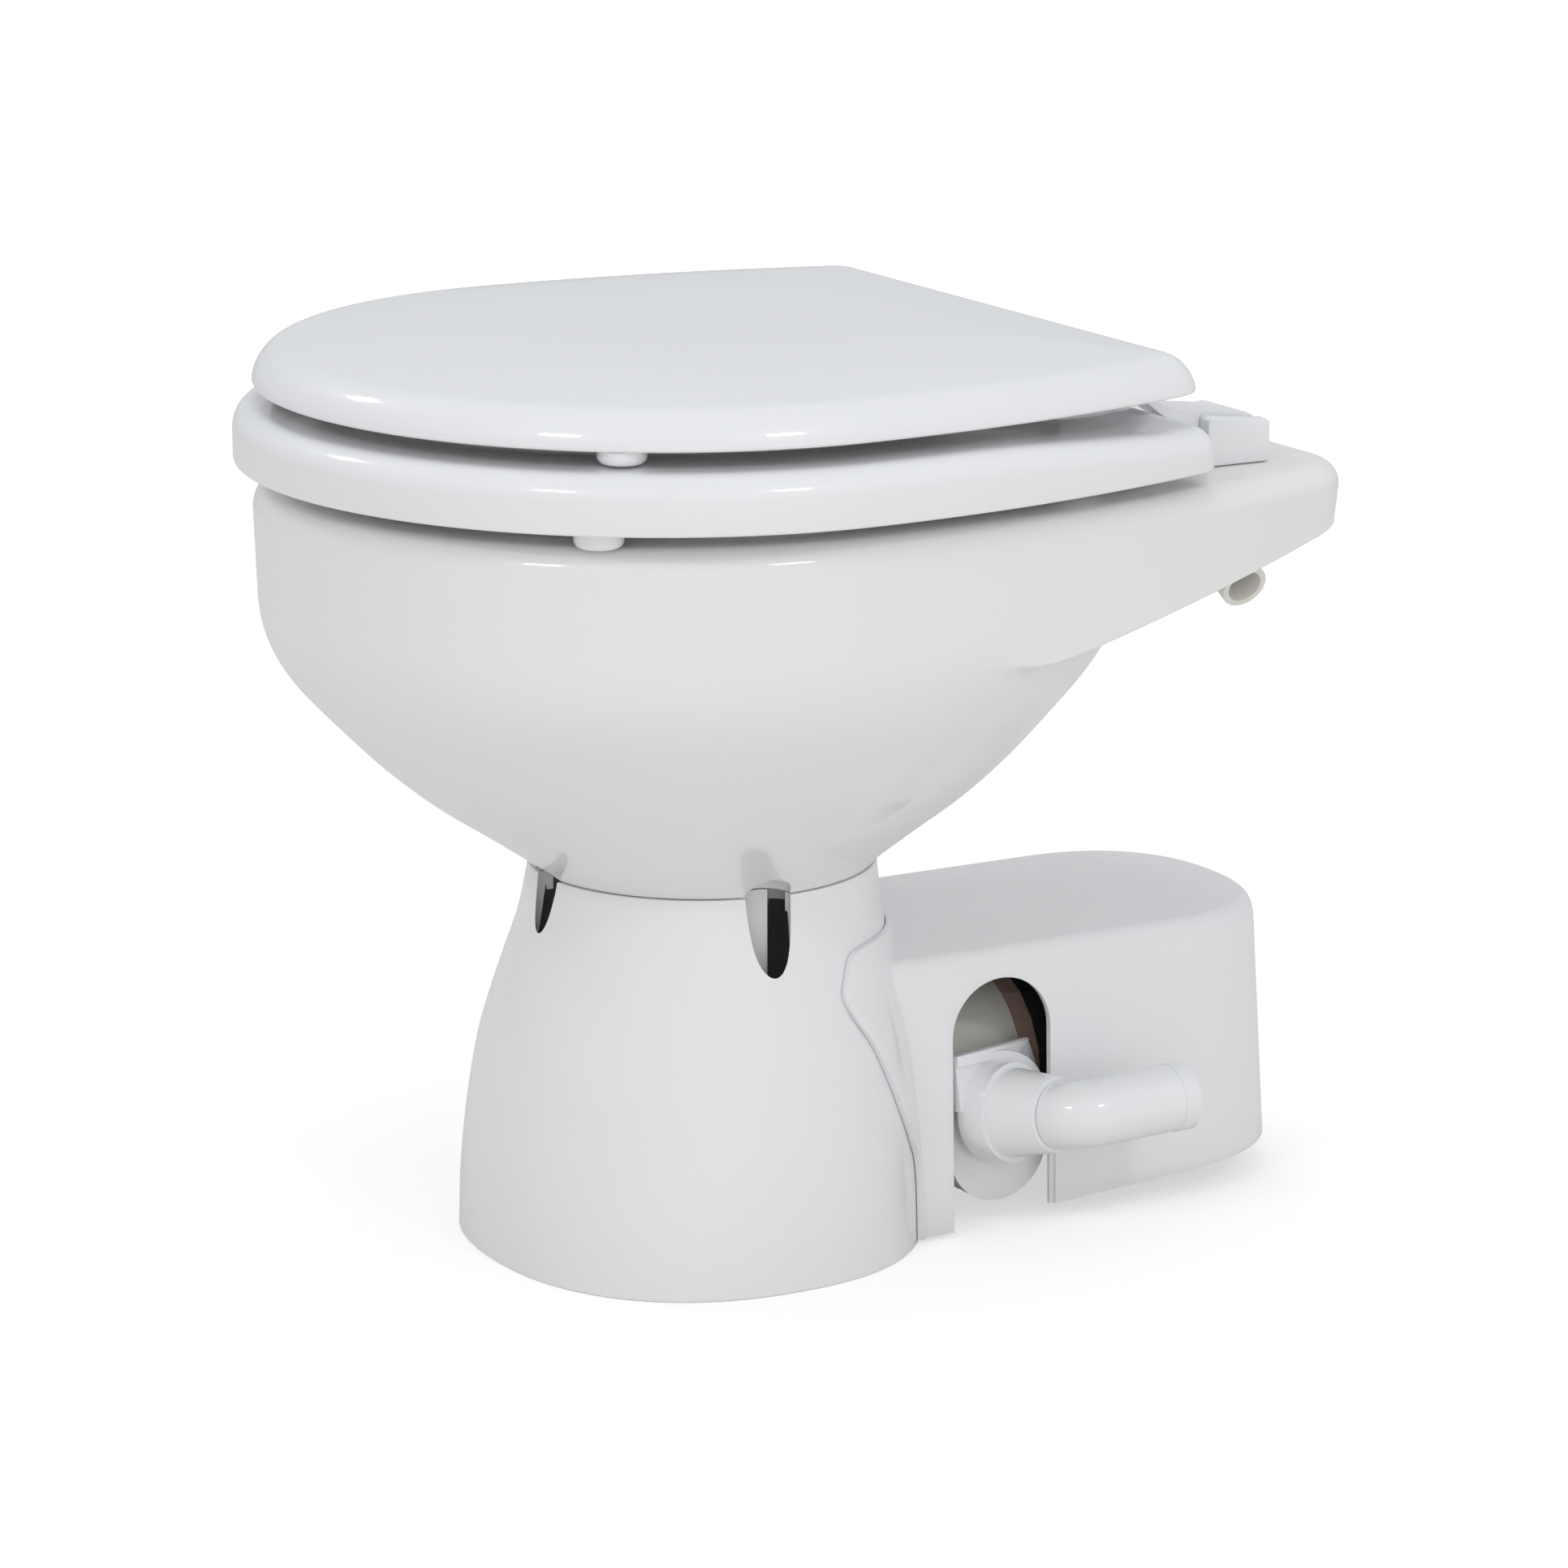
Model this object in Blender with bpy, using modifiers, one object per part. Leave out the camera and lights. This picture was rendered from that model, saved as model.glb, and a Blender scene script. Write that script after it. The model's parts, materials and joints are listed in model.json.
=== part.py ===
"""Electric marine toilet: a china bowl on a hollow pedestal, a macerator pump under its own cover,
and a seat and lid on two hinge posts.

Units are metres and Z is up. The front faces -Y and the discharge elbow comes out on the +X side.
Sizes are measured from the bowl's middle, on the floor. One empty then carries the whole object, so
that its origin lies on the floor under the middle of its box.
"""
import math

import bmesh
import bpy
from mathutils import Matrix, Vector

# Fits between pieces
TOUCH = 0.0003            # gap left where two pieces rest on each other
SLIDE = 0.0005            # gap round a piece that slides or turns in another
OVERRUN = 0.004           # how far a cutter runs past what it cuts
EDGE = 0.0012             # small edge break on moulded pieces
QUARTER = math.pi / 2

# Rim and deck of the bowl
RIM_TOP = 0.3127
RIM_HALF_WIDTH = 0.160
RIM_FRONT = -0.174
RIM_WIDEST = -0.004
DECK_REAR = 0.2396
DECK_HALF_WIDTH = 0.118
DECK_CORNER = 0.028
RIM_ROUNDING = 0.010
RIM_TAPER = 0.0015
RIM_BAND = 0.0572
RIM_UNDERSIDE = RIM_TOP - RIM_BAND
DECK_THICKNESS = 0.0247   # at its back edge
DECK_UNDERSIDE_SLOPE = 0.20
RIM_STEP = 0.0027
# Lip that hides the flush channel, and the mouth inside it
MOUTH_HALF_WIDTH = 0.118
MOUTH_HALF_LENGTH = 0.137
LIP_HEIGHT = 0.0245
LIP_EDGE = 0.004
# Body of the bowl, down to its foot
BULB_HALF_WIDTH = 0.158
BULB_HALF_LENGTH = 0.173
BULB_TOP = RIM_UNDERSIDE - RIM_STEP
FOOT_RADIUS = 0.069
FOOT_BOTTOM = 0.155
FOOT_CENTRE = 0.0045      # the foot stands a little behind the bowl's middle
BOWL_WALL = 0.009
BOWL_FLOOR = FOOT_BOTTOM + BOWL_WALL
DRAIN_RADIUS = 0.020
BULB_SHARES = ((1.0, 1.0), (0.828, 0.889), (0.645, 0.735), (0.472, 0.576), (0.316, 0.404), (0.182, 0.224),
               (0.055, 0.056), (0.0, 0.0))
CAVITY_SHARES = ((0.0, 0.0), (0.06, 0.17), (0.28, 0.50), (0.60, 0.80), (1.0, 1.0))

# Bolts that hold the bowl on the pedestal, and the wells cut for them
SIDE_BOLT_Y = -0.0035     # the side bolts stand a little forward
WELL_RADIUS = 0.0098
WELL_SIDE_REACH = 0.0664
WELL_END_REACH = 0.0642   # from the foot's middle
WELL_RISE = 0.012         # into the bowl
WELL_DEPTH = 0.043        # down the pedestal
BOLT_SIDE_REACH = 0.048
BOLT_END_REACH = 0.0475
BOLT_RADIUS = 0.003
BOLT_HEAD_RADIUS = 0.005
BOLT_HEAD_HEIGHT = 0.004
BOLT_WASHER_RADIUS = 0.006
BOLT_WASHER_THICKNESS = 0.0012
INSERT_RADIUS = 0.005
INSERT_LENGTH = 0.008
SHIELD_HALF_WIDTH = 0.0085
SHIELD_THICKNESS = 0.003
SHIELD_INSET = 0.0044     # how far the shield reaches into the well

# Pedestal
GASKET_THICKNESS = 0.0016
GASKET_RADIUS = 0.041
PEDESTAL_TOP = FOOT_BOTTOM - GASKET_THICKNESS - 2 * TOUCH
PEDESTAL_HALF_WIDTH = 0.0949
PEDESTAL_HALF_LENGTH = 0.089
PEDESTAL_TOP_RADIUS = 0.070
PEDESTAL_CENTRE = -0.0024
PEDESTAL_WALL = 0.0045
PEDESTAL_TOP_PLATE = 0.006
PEDESTAL_POWER = 2.26
PEDESTAL_SHARES = ((0.0, 1.0), (0.162, 0.985), (0.342, 0.899), (0.516, 0.752), (0.637, 0.575),
                   (0.751, 0.369), (0.872, 0.145), (1.0, 0.0))
PAD_HALF_WIDTH = 0.050
PAD_REAR = 0.0895
PAD_FRONT = 0.0768
PAD_TOP = 0.102
PAD_BOTTOM = 0.0045

# Seat
SEAT_HALF_WIDTH = 0.171
SEAT_FRONT = -0.1796
SEAT_WIDEST = -0.015
SEAT_SETBACK = 0.0826     # from the deck's back edge
SEAT_REAR = DECK_REAR - SEAT_SETBACK
SEAT_TAPER = 0.0285
SEAT_REAR_HALF_WIDTH = SEAT_HALF_WIDTH - SEAT_TAPER
SEAT_CORNER = 0.020
SEAT_GAP = 0.0078         # over the rim
SEAT_THICKNESS = 0.0227
SEAT_DROP = 0.0054        # how much lower its top is at the back
SEAT_BOTTOM = RIM_TOP + SEAT_GAP
SEAT_TOP = SEAT_BOTTOM + SEAT_THICKNESS
SEAT_TOP_REAR = SEAT_TOP - SEAT_DROP
SEAT_EDGE = 0.0045
SEAT_FALL = 0.030         # where the top starts to fall towards the hinge
SEAT_CROWN = 0.001
HOLE_HALF_WIDTH = 0.104
HOLE_FRONT = -0.122
HOLE_WIDEST = -0.012
HOLE_REAR = 0.112
HOLE_REAR_HALF_WIDTH = 0.074
HOLE_CORNER = 0.050
HOLE_ROUNDING = 0.009

# Lid
LID_MARGIN = 0.0079       # how far the lid stands in from the seat's edge
LID_SHORTFALL = 0.004
LID_REAR = SEAT_REAR - LID_SHORTFALL
LID_TAPER = 0.0035
LID_REAR_HALF_WIDTH = SEAT_REAR_HALF_WIDTH - LID_TAPER
LID_CORNER = 0.030
LID_GAP = 0.0072          # over the seat
LID_BOTTOM = SEAT_TOP + LID_GAP
LID_SIDE_HEIGHT = 0.0148
LID_SIDE_INSET = 0.0108
LID_CROWN = 0.0062        # rise of the crown above the side's crease
LID_CROWN_START = LID_REAR_HALF_WIDTH / 4
LID_SIDE_SHARES = (0.62, 0.45)      # height and inset of the side's middle
LID_CROWN_SHARES = ((1, 0.55), (2, 0.85), (3, 1.0))
LID_LIP = 0.006
LID_RECESS = 0.0085

# Hinge
HINGE_SETBACK = 0.0416
HINGE_Y = DECK_REAR - HINGE_SETBACK
HINGE_RISE = 0.0123
HINGE_Z = RIM_TOP + HINGE_RISE
HINGE_X = 0.078
POST_HALF_WIDTH = 0.022
POST_FORWARD = 0.0205     # from the pin
POST_BACKWARD = 0.0085
POST_FRONT = HINGE_Y - POST_FORWARD
POST_REAR = HINGE_Y + POST_BACKWARD
POST_HEIGHT = 0.0203
POST_FALL = 0.003         # how much lower the post is at its back
POST_BASE = 0.0034
EAR_THICKNESS = 0.007
KNUCKLE_RADIUS = 0.0074
PIN_RADIUS = 0.0025
ARM_WIDTH = 0.0142
SEAT_ARM_INNER = 0.0635
LID_ARM_INNER = 0.0783
ARM_THICKNESS = 0.0036
TAB_THICKNESS = 0.004
TAB_LENGTH = 0.034
LID_PAD_NEAR = 0.053
LID_PAD_FAR = 0.083
ARM_ROOT_SHARES = (1.5, 0.3)        # of the knuckle's radius
SEAT_ARM_SHARES = ((0.7, 0.8), (1.0, 0.7))
LID_ARM_TOP_SHARES = ((0.73, -1.7), (0.89, -0.5), (0.985, 1.8))
LID_ARM_HEEL_SHARES = ((8.6, 5.0), (2.0, 3.4), (-1.0, 1.0))
LID_ARM_UNDER_SHARES = ((0.93, -2.6), (0.73, -7.0))
STUD_FORWARD = 0.008
STUD_RADIUS = 0.004
STUD_LENGTH = 0.0465
STUD_HEAD_RADIUS = 0.0068
STUD_HEAD = 0.0014
WING_NUT_RADIUS = 0.0105
WING_NUT_HEIGHT = 0.007
WING_NUT_WAIST = 0.0074
WING_SPAN = 0.034
WING_THICKNESS = 0.004
WING_HEIGHT = 0.0042

# Buffers under the seat and under the lid
BUFFER_RADIUS = 0.0095
PEG_RADIUS = 0.0025
PEG_LENGTH = 0.007
SEAT_BUFFER_INSET = 0.050 # in from the seat's widest line
SEAT_BUFFER_REAR_INSET = 0.053
SEAT_BUFFER_REACH = 0.104
LID_BUFFER_INSET = 0.0455
LID_BUFFER_Y = -0.0965

# Pump and motor, all on one axis along Y
PUMP_Z = 0.052
PUMP_RADIUS = 0.0395
PUMP_WALL = 0.005
PUMP_FRONT = 0.0745
PUMP_FLANGE_RADIUS = 0.0478
PUMP_FLANGE = 0.005
PUMP_REAR = 0.1322
BACK_WALL = 0.007
INLET_LENGTH = 0.008
INLET_RADIUS = 0.024
CHOPPER_PLATE_Y = 0.0985
CHOPPER_PLATE_THICKNESS = 0.0035
CHOPPER_SLOTS = 5
CHOPPER_HOLE = 0.004
SHAFT_RADIUS = 0.004
SEAL_RADIUS = 0.011
SEAL_THICKNESS = 0.004
SCREW_CIRCLE = 0.0437
SCREW_RADIUS = 0.002
SCREW_HEAD_RADIUS = 0.0038
SCREW_HEAD = 0.0026
SCREW_GRIP = 0.009
ADAPTER_LENGTH = 0.0075
ADAPTER_RADIUS = 0.0405
MOTOR_RADIUS = 0.040
MOTOR_WALL = 0.0025
MOTOR_LENGTH = 0.088
END_CAP_LENGTH = 0.010
BEARING_RADIUS = 0.0095
BEARING_WIDTH = 0.006
MAGNET_THICKNESS = 0.007
MAGNET_LENGTH = 0.052
MAGNET_ANGLE = math.radians(128)
ARMATURE_RADIUS = 0.0265
ARMATURE_LENGTH = 0.046
ARMATURE_POLES = 8
ARMATURE_SHARES = ((0.52, -0.17), (0.86, -0.12), (0.86, -0.44), (1.0, -0.44), (1.0, 0.0), (1.0, 0.44),
                   (0.86, 0.44), (0.86, 0.12), (0.52, 0.17))
ARMATURE_PLACE = 0.42     # share of the can's length
COMMUTATOR_RADIUS = 0.012
COMMUTATOR_LENGTH = 0.014
IMPELLER_RADIUS = 0.031
IMPELLER_VANES = 5
VANE_THICKNESS = 0.003
VANE_WIDTH = 0.0125
VANE_SWEEP = math.radians(40)
HUB_RADIUS = 0.0085
BLADE_LENGTH = 0.026
BLADE_WIDTH = 0.011
BLADE_THICKNESS = 0.0025

# Discharge: a plate on the pump, then a port that leans back and up, and an elbow that turns to +Y
PORT_X = 0.069
PORT_Y = 0.110
PORT_Z = 0.0497
PORT_YAW = math.radians(18.5)
PORT_RISE = math.radians(9)
BLOCK_IN = 0.0365
BLOCK_OUT = 0.0500
BLOCK_FRONT = 0.0956
BLOCK_REAR = 0.1295
BLOCK_TOP = 0.0765
BLOCK_BOTTOM = 0.014
BLOCK_LIP = 0.004
PLATE_THICKNESS = 0.0065
PLATE_RADIUS = 0.0225
PLATE_LOW_Z = 0.0318
DISC_RADIUS = 0.0203
DISC_THICKNESS = 0.0128
COLLAR_RADIUS = 0.0183
COLLAR_LENGTH = 0.0225
STUB_RADIUS = 0.0153
PORT_BORE = 0.0105
JOKER_RADIUS = 0.0135
JOKER_SLEEVE_RADIUS = 0.0108
JOKER_LENGTH = 0.015
JOKER_FLANGE = 0.002
JOKER_WALL = 0.0016
ELBOW_RADIUS = 0.0135
ELBOW_BORE = 0.0105
ELBOW_RING_RADIUS = 0.0148
ELBOW_REACH = 0.0345      # from the port's face to the elbow's corner
ELBOW_BEND = 0.0142
ELBOW_END = 0.170
ELBOW_RING_LENGTH = 0.007
ELBOW_Z_END = 0.0567

# Cover over the pump and motor
COVER_HALF_WIDTH = 0.066
COVER_TAPER = 0.0035
COVER_TOP_HALF_WIDTH = COVER_HALF_WIDTH - COVER_TAPER
COVER_REAR = 0.261
COVER_LEAN = 0.0075
COVER_TOP_REAR = COVER_REAR - COVER_LEAN
COVER_FRONT = 0.030
COVER_TOP = 0.1185
COVER_BOTTOM = 0.002
COVER_BACK_BOTTOM = 0.0065
COVER_WALL = 0.003
COVER_ROUNDING = 0.010
SHOULDER_SHARES = ((0.0, 1.0), (0.11, 0.5), (0.4, 0.18), (0.9, 0.12))
COVER_POWER = 2.35
ARCH_FRONT = 0.084
ARCH_REAR = 0.130
ARCH_TOP = 0.105
ARCH_REBATE = 0.0022
FLANGE_THICKNESS = 0.0026
COLLAR_HEIGHT = 0.010     # how far the flange stands over the cover's top, round the pedestal's neck
FLANGE_REACH = math.radians(73.2)
FLANGE_ROOT = math.radians(-3.0)
FLANGE_SHARES = ((0.0, 0.60), (0.235, 0.60), (0.343, 0.66), (0.431, 0.716), (0.559, 0.793), (0.70, 0.877),
                 (0.804, 0.965), (0.872, 1.0), (0.925, 0.974), (0.968, 0.943), (0.99, 0.902), (1.0, 0.80))

# Flush inlet under the deck
INLET_X = 0.060
INLET_SETBACK = 0.0266
INLET_Y = DECK_REAR - INLET_SETBACK
INLET_PIPE_RADIUS = 0.0098
INLET_PIPE_BORE = 0.0072
INLET_PIPE_DROP = 0.0157
INLET_PIPE_TURN = 0.0105
INLET_PIPE_END = 0.0165
INLET_PIPE_DIP = math.radians(28)
GROMMET_RADIUS = 0.0135
GROMMET_LIP = 0.0025
SOCKET_DEPTH = 0.012

# Drain bend from the bowl to the pump
BEND_RADIUS = 0.024
BEND_TURN = 0.034
SLEEVE_OVERLAP = 0.009
SLEEVE_WALL = 0.0028

# Facets
ROUND_STEPS = 20
MIDDLE_STEPS = 14
SMALL_STEPS = 8
WELL_STEPS = 14
NOSE_STEPS = 7            # of a quarter of the plan outline's egg
SIDE_STEPS = 3
CORNER_STEPS = 3
PEDESTAL_POINTS = 32
COVER_ARC_POINTS = 12
ARCH_STEPS = 8
FLANGE_STEPS = 7
BEND_STEPS = 4
TUBE_RESOLUTION = 3


def clear_scene():
    for item in list(bpy.data.objects):
        bpy.data.objects.remove(item, do_unlink=True)


def make_collection(name):
    group = bpy.data.collections.new(name)
    bpy.context.scene.collection.children.link(group)
    return group


def make_material(name, colour, roughness, metallic=0.0):
    material = bpy.data.materials.new(name)
    material.use_nodes = True
    shader = material.node_tree.nodes["Principled BSDF"]
    shader.inputs["Base Color"].default_value = (*colour, 1.0)
    shader.inputs["Roughness"].default_value = roughness
    shader.inputs["Metallic"].default_value = metallic
    return material


def make_materials():
    return {
        "china": make_material("white_china", (0.80, 0.81, 0.83), 0.12),
        "plastic": make_material("white_plastic", (0.80, 0.81, 0.82), 0.28),
        "cream": make_material("cream_plastic", (0.74, 0.72, 0.66), 0.40),
        "rubber": make_material("black_rubber", (0.03, 0.03, 0.03), 0.70),
        "black": make_material("black_motor_paint", (0.025, 0.024, 0.023), 0.45),
        "copper": make_material("copper_band", (0.62, 0.42, 0.34), 0.38, 0.6),
        "steel": make_material("stainless_steel", (0.60, 0.60, 0.60), 0.25, 1.0),
        "brass": make_material("brass", (0.71, 0.55, 0.27), 0.30, 1.0),
        "ferrite": make_material("ferrite", (0.09, 0.09, 0.10), 0.75),
    }


def make_empty(name, place, parent=None):
    empty = bpy.data.objects.new(name, None)
    PARTS.objects.link(empty)
    empty.location = place
    if parent is not None:
        empty.parent = parent
        empty.matrix_parent_inverse = Matrix.Translation(-Vector(MODEL_PLACE[parent.name]))
    return empty


def hang(item, parent):
    """Parent a piece so that it keeps the place it was modelled in."""
    item.parent = parent
    item.matrix_parent_inverse = Matrix.Translation(-Vector(MODEL_PLACE[parent.name]))


def add_piece(name, data, material, parent):
    item = bpy.data.objects.new(name, data)
    PARTS.objects.link(item)
    data.materials.clear()
    data.materials.append(material)
    hang(item, parent)
    return item


def add_tool(name, data):
    """A cutter or a shape that is joined to a piece: it is never part of the object itself."""
    item = bpy.data.objects.new(name, data)
    TOOLS.objects.link(item)
    item.hide_render = True
    item.display_type = "WIRE"
    hang(item, ORIGIN)
    return item


def to_mesh(bm, name, sharp_angle=35):
    mesh = bpy.data.meshes.new(name)
    bmesh.ops.recalc_face_normals(bm, faces=bm.faces)
    bm.to_mesh(mesh)
    bm.free()
    mesh.shade_smooth()
    mesh.set_sharp_from_angle(angle=math.radians(sharp_angle))
    return mesh


def boolean(item, tool, operation="DIFFERENCE"):
    modifier = item.modifiers.new(tool.name, "BOOLEAN")
    modifier.operation = operation
    modifier.object = tool


def cut(item, *tools):
    for tool in tools:
        boolean(item, tool)


def join(item, *tools):
    for tool in tools:
        boolean(item, tool, "UNION")


def loft(name, rings, wrap=False):
    """Faces between rings of as many points each; wrapped, the last ring meets the first."""
    bm = bmesh.new()
    rows = [[bm.verts.new(point) for point in ring] for ring in rings]
    pairs = list(zip(rows, rows[1:]))
    if wrap:
        pairs.append((rows[-1], rows[0]))
    for low, high in pairs:
        for i, corner in enumerate(low):
            j = (i + 1) % len(low)
            bm.faces.new((corner, low[j], high[j], high[i]))
    if not wrap:
        bm.faces.new(list(reversed(rows[0])))
        bm.faces.new(rows[-1])
    return to_mesh(bm, name)


def box_mesh(name, low, high, bevel=0.0):
    bm = bmesh.new()
    bmesh.ops.create_cube(bm, size=1.0)
    low, high = Vector(low), Vector(high)
    bmesh.ops.scale(bm, vec=high - low, verts=bm.verts)
    bmesh.ops.translate(bm, vec=(low + high) / 2, verts=bm.verts)
    if bevel:
        bmesh.ops.bevel(bm, geom=bm.edges[:], offset=bevel, segments=2, affect="EDGES", profile=0.5)
    return to_mesh(bm, name)


def rod_mesh(name, radius, start, end, steps=SMALL_STEPS):
    """A plain cylinder between two points."""
    start, end = Vector(start), Vector(end)
    bm = bmesh.new()
    bmesh.ops.create_cone(bm, cap_ends=True, segments=steps, radius1=radius, radius2=radius,
                          depth=(end - start).length)
    turn = Vector((0, 0, 1)).rotation_difference(end - start).to_matrix().to_4x4()
    bmesh.ops.transform(bm, matrix=Matrix.Translation((start + end) / 2) @ turn, verts=bm.verts)
    return to_mesh(bm, name)


def plate_mesh(name, outline, low, high, axis="X"):
    """A flat outline given as (y, z) or (x, z) points, with its thickness along an axis."""
    def place(point, depth):
        if axis == "X":
            return (depth, point[0], point[1])
        return (point[0], depth, point[1])
    return loft(name, [[place(p, low) for p in outline], [place(p, high) for p in outline]])


AXIS_TURN = {"X": (0, QUARTER, 0), "Y": (-QUARTER, 0, 0), "Z": (0, 0, 0)}


def turn_profile(item, outline, centre, axis, steps):
    """Lay a profile of (radius, height) points, top to bottom on its outer side, and screw it round."""
    bored = outline[0][0] > 0
    bm = bmesh.new()
    points = [bm.verts.new((radius, 0, height)) for radius, height in outline]
    for start, end in zip(points, points[1:]):
        bm.edges.new((start, end))
    if bored:
        bm.edges.new((points[-1], points[0]))
    bm.to_mesh(item.data)
    bm.free()
    item.location = centre
    item.rotation_euler = AXIS_TURN[axis]
    screw = item.modifiers.new("turn", "SCREW")
    screw.steps = steps
    screw.render_steps = steps
    screw.use_merge_vertices = True
    screw.merge_threshold = 0.00001
    screw.use_smooth_shade = True


def add_turned(name, outline, centre, axis, material, parent, steps=ROUND_STEPS):
    item = add_piece(name, bpy.data.meshes.new(name), material, parent)
    turn_profile(item, outline, centre, axis, steps)
    return item


def tube_mesh(name, points, radius):
    """A round bar along points, as a curve with its caps welded."""
    curve = bpy.data.curves.new(name, "CURVE")
    curve.dimensions = "3D"
    curve.bevel_depth = radius
    curve.bevel_resolution = TUBE_RESOLUTION
    curve.use_fill_caps = True
    spline = curve.splines.new("POLY")
    spline.points.add(len(points) - 1)
    for slot, point in zip(spline.points, points):
        slot.co = (*point, 1.0)
    holder = bpy.data.objects.new(name, curve)
    bpy.context.scene.collection.objects.link(holder)
    bpy.context.view_layer.update()
    mesh = bpy.data.meshes.new_from_object(holder.evaluated_get(bpy.context.evaluated_depsgraph_get()))
    bpy.data.objects.remove(holder, do_unlink=True)
    bm = bmesh.new()
    bm.from_mesh(mesh)
    bmesh.ops.remove_doubles(bm, verts=bm.verts, dist=0.00001)
    return to_mesh(bm, name)


def bend(start, corner, end, radius):
    """Points of a straight run, an arc and a second straight run."""
    start, corner, end = Vector(start), Vector(corner), Vector(end)
    into, out = (start - corner).normalized(), (end - corner).normalized()
    half = into.angle(out) / 2
    trim = radius / math.tan(half)
    centre = corner + (into + out).normalized() * radius / math.sin(half)
    first = corner + into * trim - centre
    last = corner + out * trim - centre
    axis = first.cross(last).normalized()
    sweep = first.angle(last)
    arc = [centre + Matrix.Rotation(sweep * i / BEND_STEPS, 3, axis) @ first for i in range(BEND_STEPS + 1)]
    return [start] + arc + [end]


def circle(radius, z, centre_y, angles):
    return [Vector((radius * math.cos(a), centre_y + radius * math.sin(a), z)) for a in angles]


def blend(low, high, share):
    return low + (high - low) * share


def smooth_step(share):
    share = min(1.0, max(0.0, share))
    return share * share * (3 - 2 * share)


def lookup(table, share):
    """Straight-line reading of a table of (share, value) pairs that rises in its first column."""
    for (low, first), (high, second) in zip(table, table[1:]):
        if share <= high:
            return blend(first, second, (share - low) / (high - low))
    return table[-1][1]


def plan_outline(half_width, front, widest, rear, rear_half_width, corner, inset=0.0):
    """An egg in front with tapering sides, two round corners and a straight edge at the back."""
    wide, back = half_width - inset, rear_half_width - inset
    nose, tail = front + inset, rear - inset
    turn = max(corner - inset, corner / 3)
    half = [(wide * math.sin(a), widest - (widest - nose) * math.cos(a))
            for a in (QUARTER * i / NOSE_STEPS for i in range(NOSE_STEPS + 1))]
    side_end = tail - turn
    for i in range(1, SIDE_STEPS + 1):
        share = i / SIDE_STEPS
        half.append((wide - (wide - back) * share ** 2, blend(widest, side_end, share)))
    for i in range(1, CORNER_STEPS + 1):
        a = QUARTER * i / CORNER_STEPS
        half.append((back - turn + turn * math.cos(a), side_end + turn * math.sin(a)))
    half.append(((back - turn) / 2, tail))
    half.append((0.0, tail))
    mirrored = [(-x, y) for x, y in reversed(half[1:-1])]
    return half + mirrored


def at_height(outline, height):
    """Lift flat points to a height, which is a number or a function of the point."""
    return [Vector((x, y, height(x, y) if callable(height) else height)) for x, y in outline]


def rim_outline(inset):
    return plan_outline(RIM_HALF_WIDTH, RIM_FRONT, RIM_WIDEST, DECK_REAR, DECK_HALF_WIDTH,
                        DECK_CORNER, inset)


def deck_underside(x, y):
    """The rim's lower edge is level round the front and climbs along the deck."""
    return max(RIM_UNDERSIDE, RIM_TOP - DECK_THICKNESS + (y - DECK_REAR) * DECK_UNDERSIDE_SLOPE)


def deck_seat(x, y, radius):
    """Height of a flat seat cut into the sloping underside for a round piece."""
    return deck_underside(x, y) - radius * DECK_UNDERSIDE_SLOPE


def underside_tool(name, x, y, radius, top):
    """A round cutter that comes up from under the deck."""
    start = (x, y, RIM_UNDERSIDE - OVERRUN)
    return add_tool(name, rod_mesh(name, radius, start, (x, y, top), MIDDLE_STEPS))


def bowl_rings():
    """Rings from the drain up the inside, over the rim and deck, and down the outside to the foot."""
    angles = [math.atan2(y, x) for x, y in rim_outline(0.0)]

    def oval(half_width, half_length, height, centre=0.0):
        flat = [(half_width * math.cos(a), centre + half_length * math.sin(a)) for a in angles]
        return at_height(flat, height)

    def between(inner, outer, share, height):
        centre = blend(FOOT_CENTRE, 0.0, share)
        return oval(blend(inner, outer[0], share), blend(inner, outer[1], share), height, centre)

    outside = (BULB_HALF_WIDTH, BULB_HALF_LENGTH)
    inside = (BULB_HALF_WIDTH - BOWL_WALL, BULB_HALF_LENGTH - BOWL_WALL)
    rings = [oval(DRAIN_RADIUS, DRAIN_RADIUS, FOOT_BOTTOM, FOOT_CENTRE)]
    for height, spread in CAVITY_SHARES:
        rings.append(between(DRAIN_RADIUS, inside, spread, blend(BOWL_FLOOR, BULB_TOP, height)))
    lip_bottom = RIM_TOP - LIP_HEIGHT
    rings.append(oval(inside[0] + EDGE, inside[1] + EDGE, lip_bottom + EDGE))
    third = LIP_EDGE / 3
    for grow, level in ((0.0, lip_bottom), (0.0, RIM_TOP - LIP_EDGE), (third, RIM_TOP - third),
                        (LIP_EDGE, RIM_TOP)):
        rings.append(oval(MOUTH_HALF_WIDTH + grow, MOUTH_HALF_LENGTH + grow, level))
    for turn in (90, 45, 0):
        a = math.radians(turn)
        rings.append(at_height(rim_outline(RIM_ROUNDING * (1 - math.cos(a))),
                               RIM_TOP - RIM_ROUNDING * (1 - math.sin(a))))
    rings.append(at_height(rim_outline(RIM_TAPER), deck_underside))
    for height, spread in BULB_SHARES:
        level = blend(FOOT_BOTTOM, BULB_TOP, height)
        ring = between(FOOT_RADIUS, outside, spread, level)
        if height == 1.0:
            for point in ring:
                point.z = deck_underside(point.x, point.y) - RIM_STEP
        rings.append(ring)
    return rings


def foot_places(side_reach, end_reach):
    """Four places round the foot: right, front, left and back."""
    return [(side_reach, SIDE_BOLT_Y), (0.0, FOOT_CENTRE - end_reach),
            (-side_reach, SIDE_BOLT_Y), (0.0, FOOT_CENTRE + end_reach)]


def bolt_places():
    return foot_places(BOLT_SIDE_REACH, BOLT_END_REACH)


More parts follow.
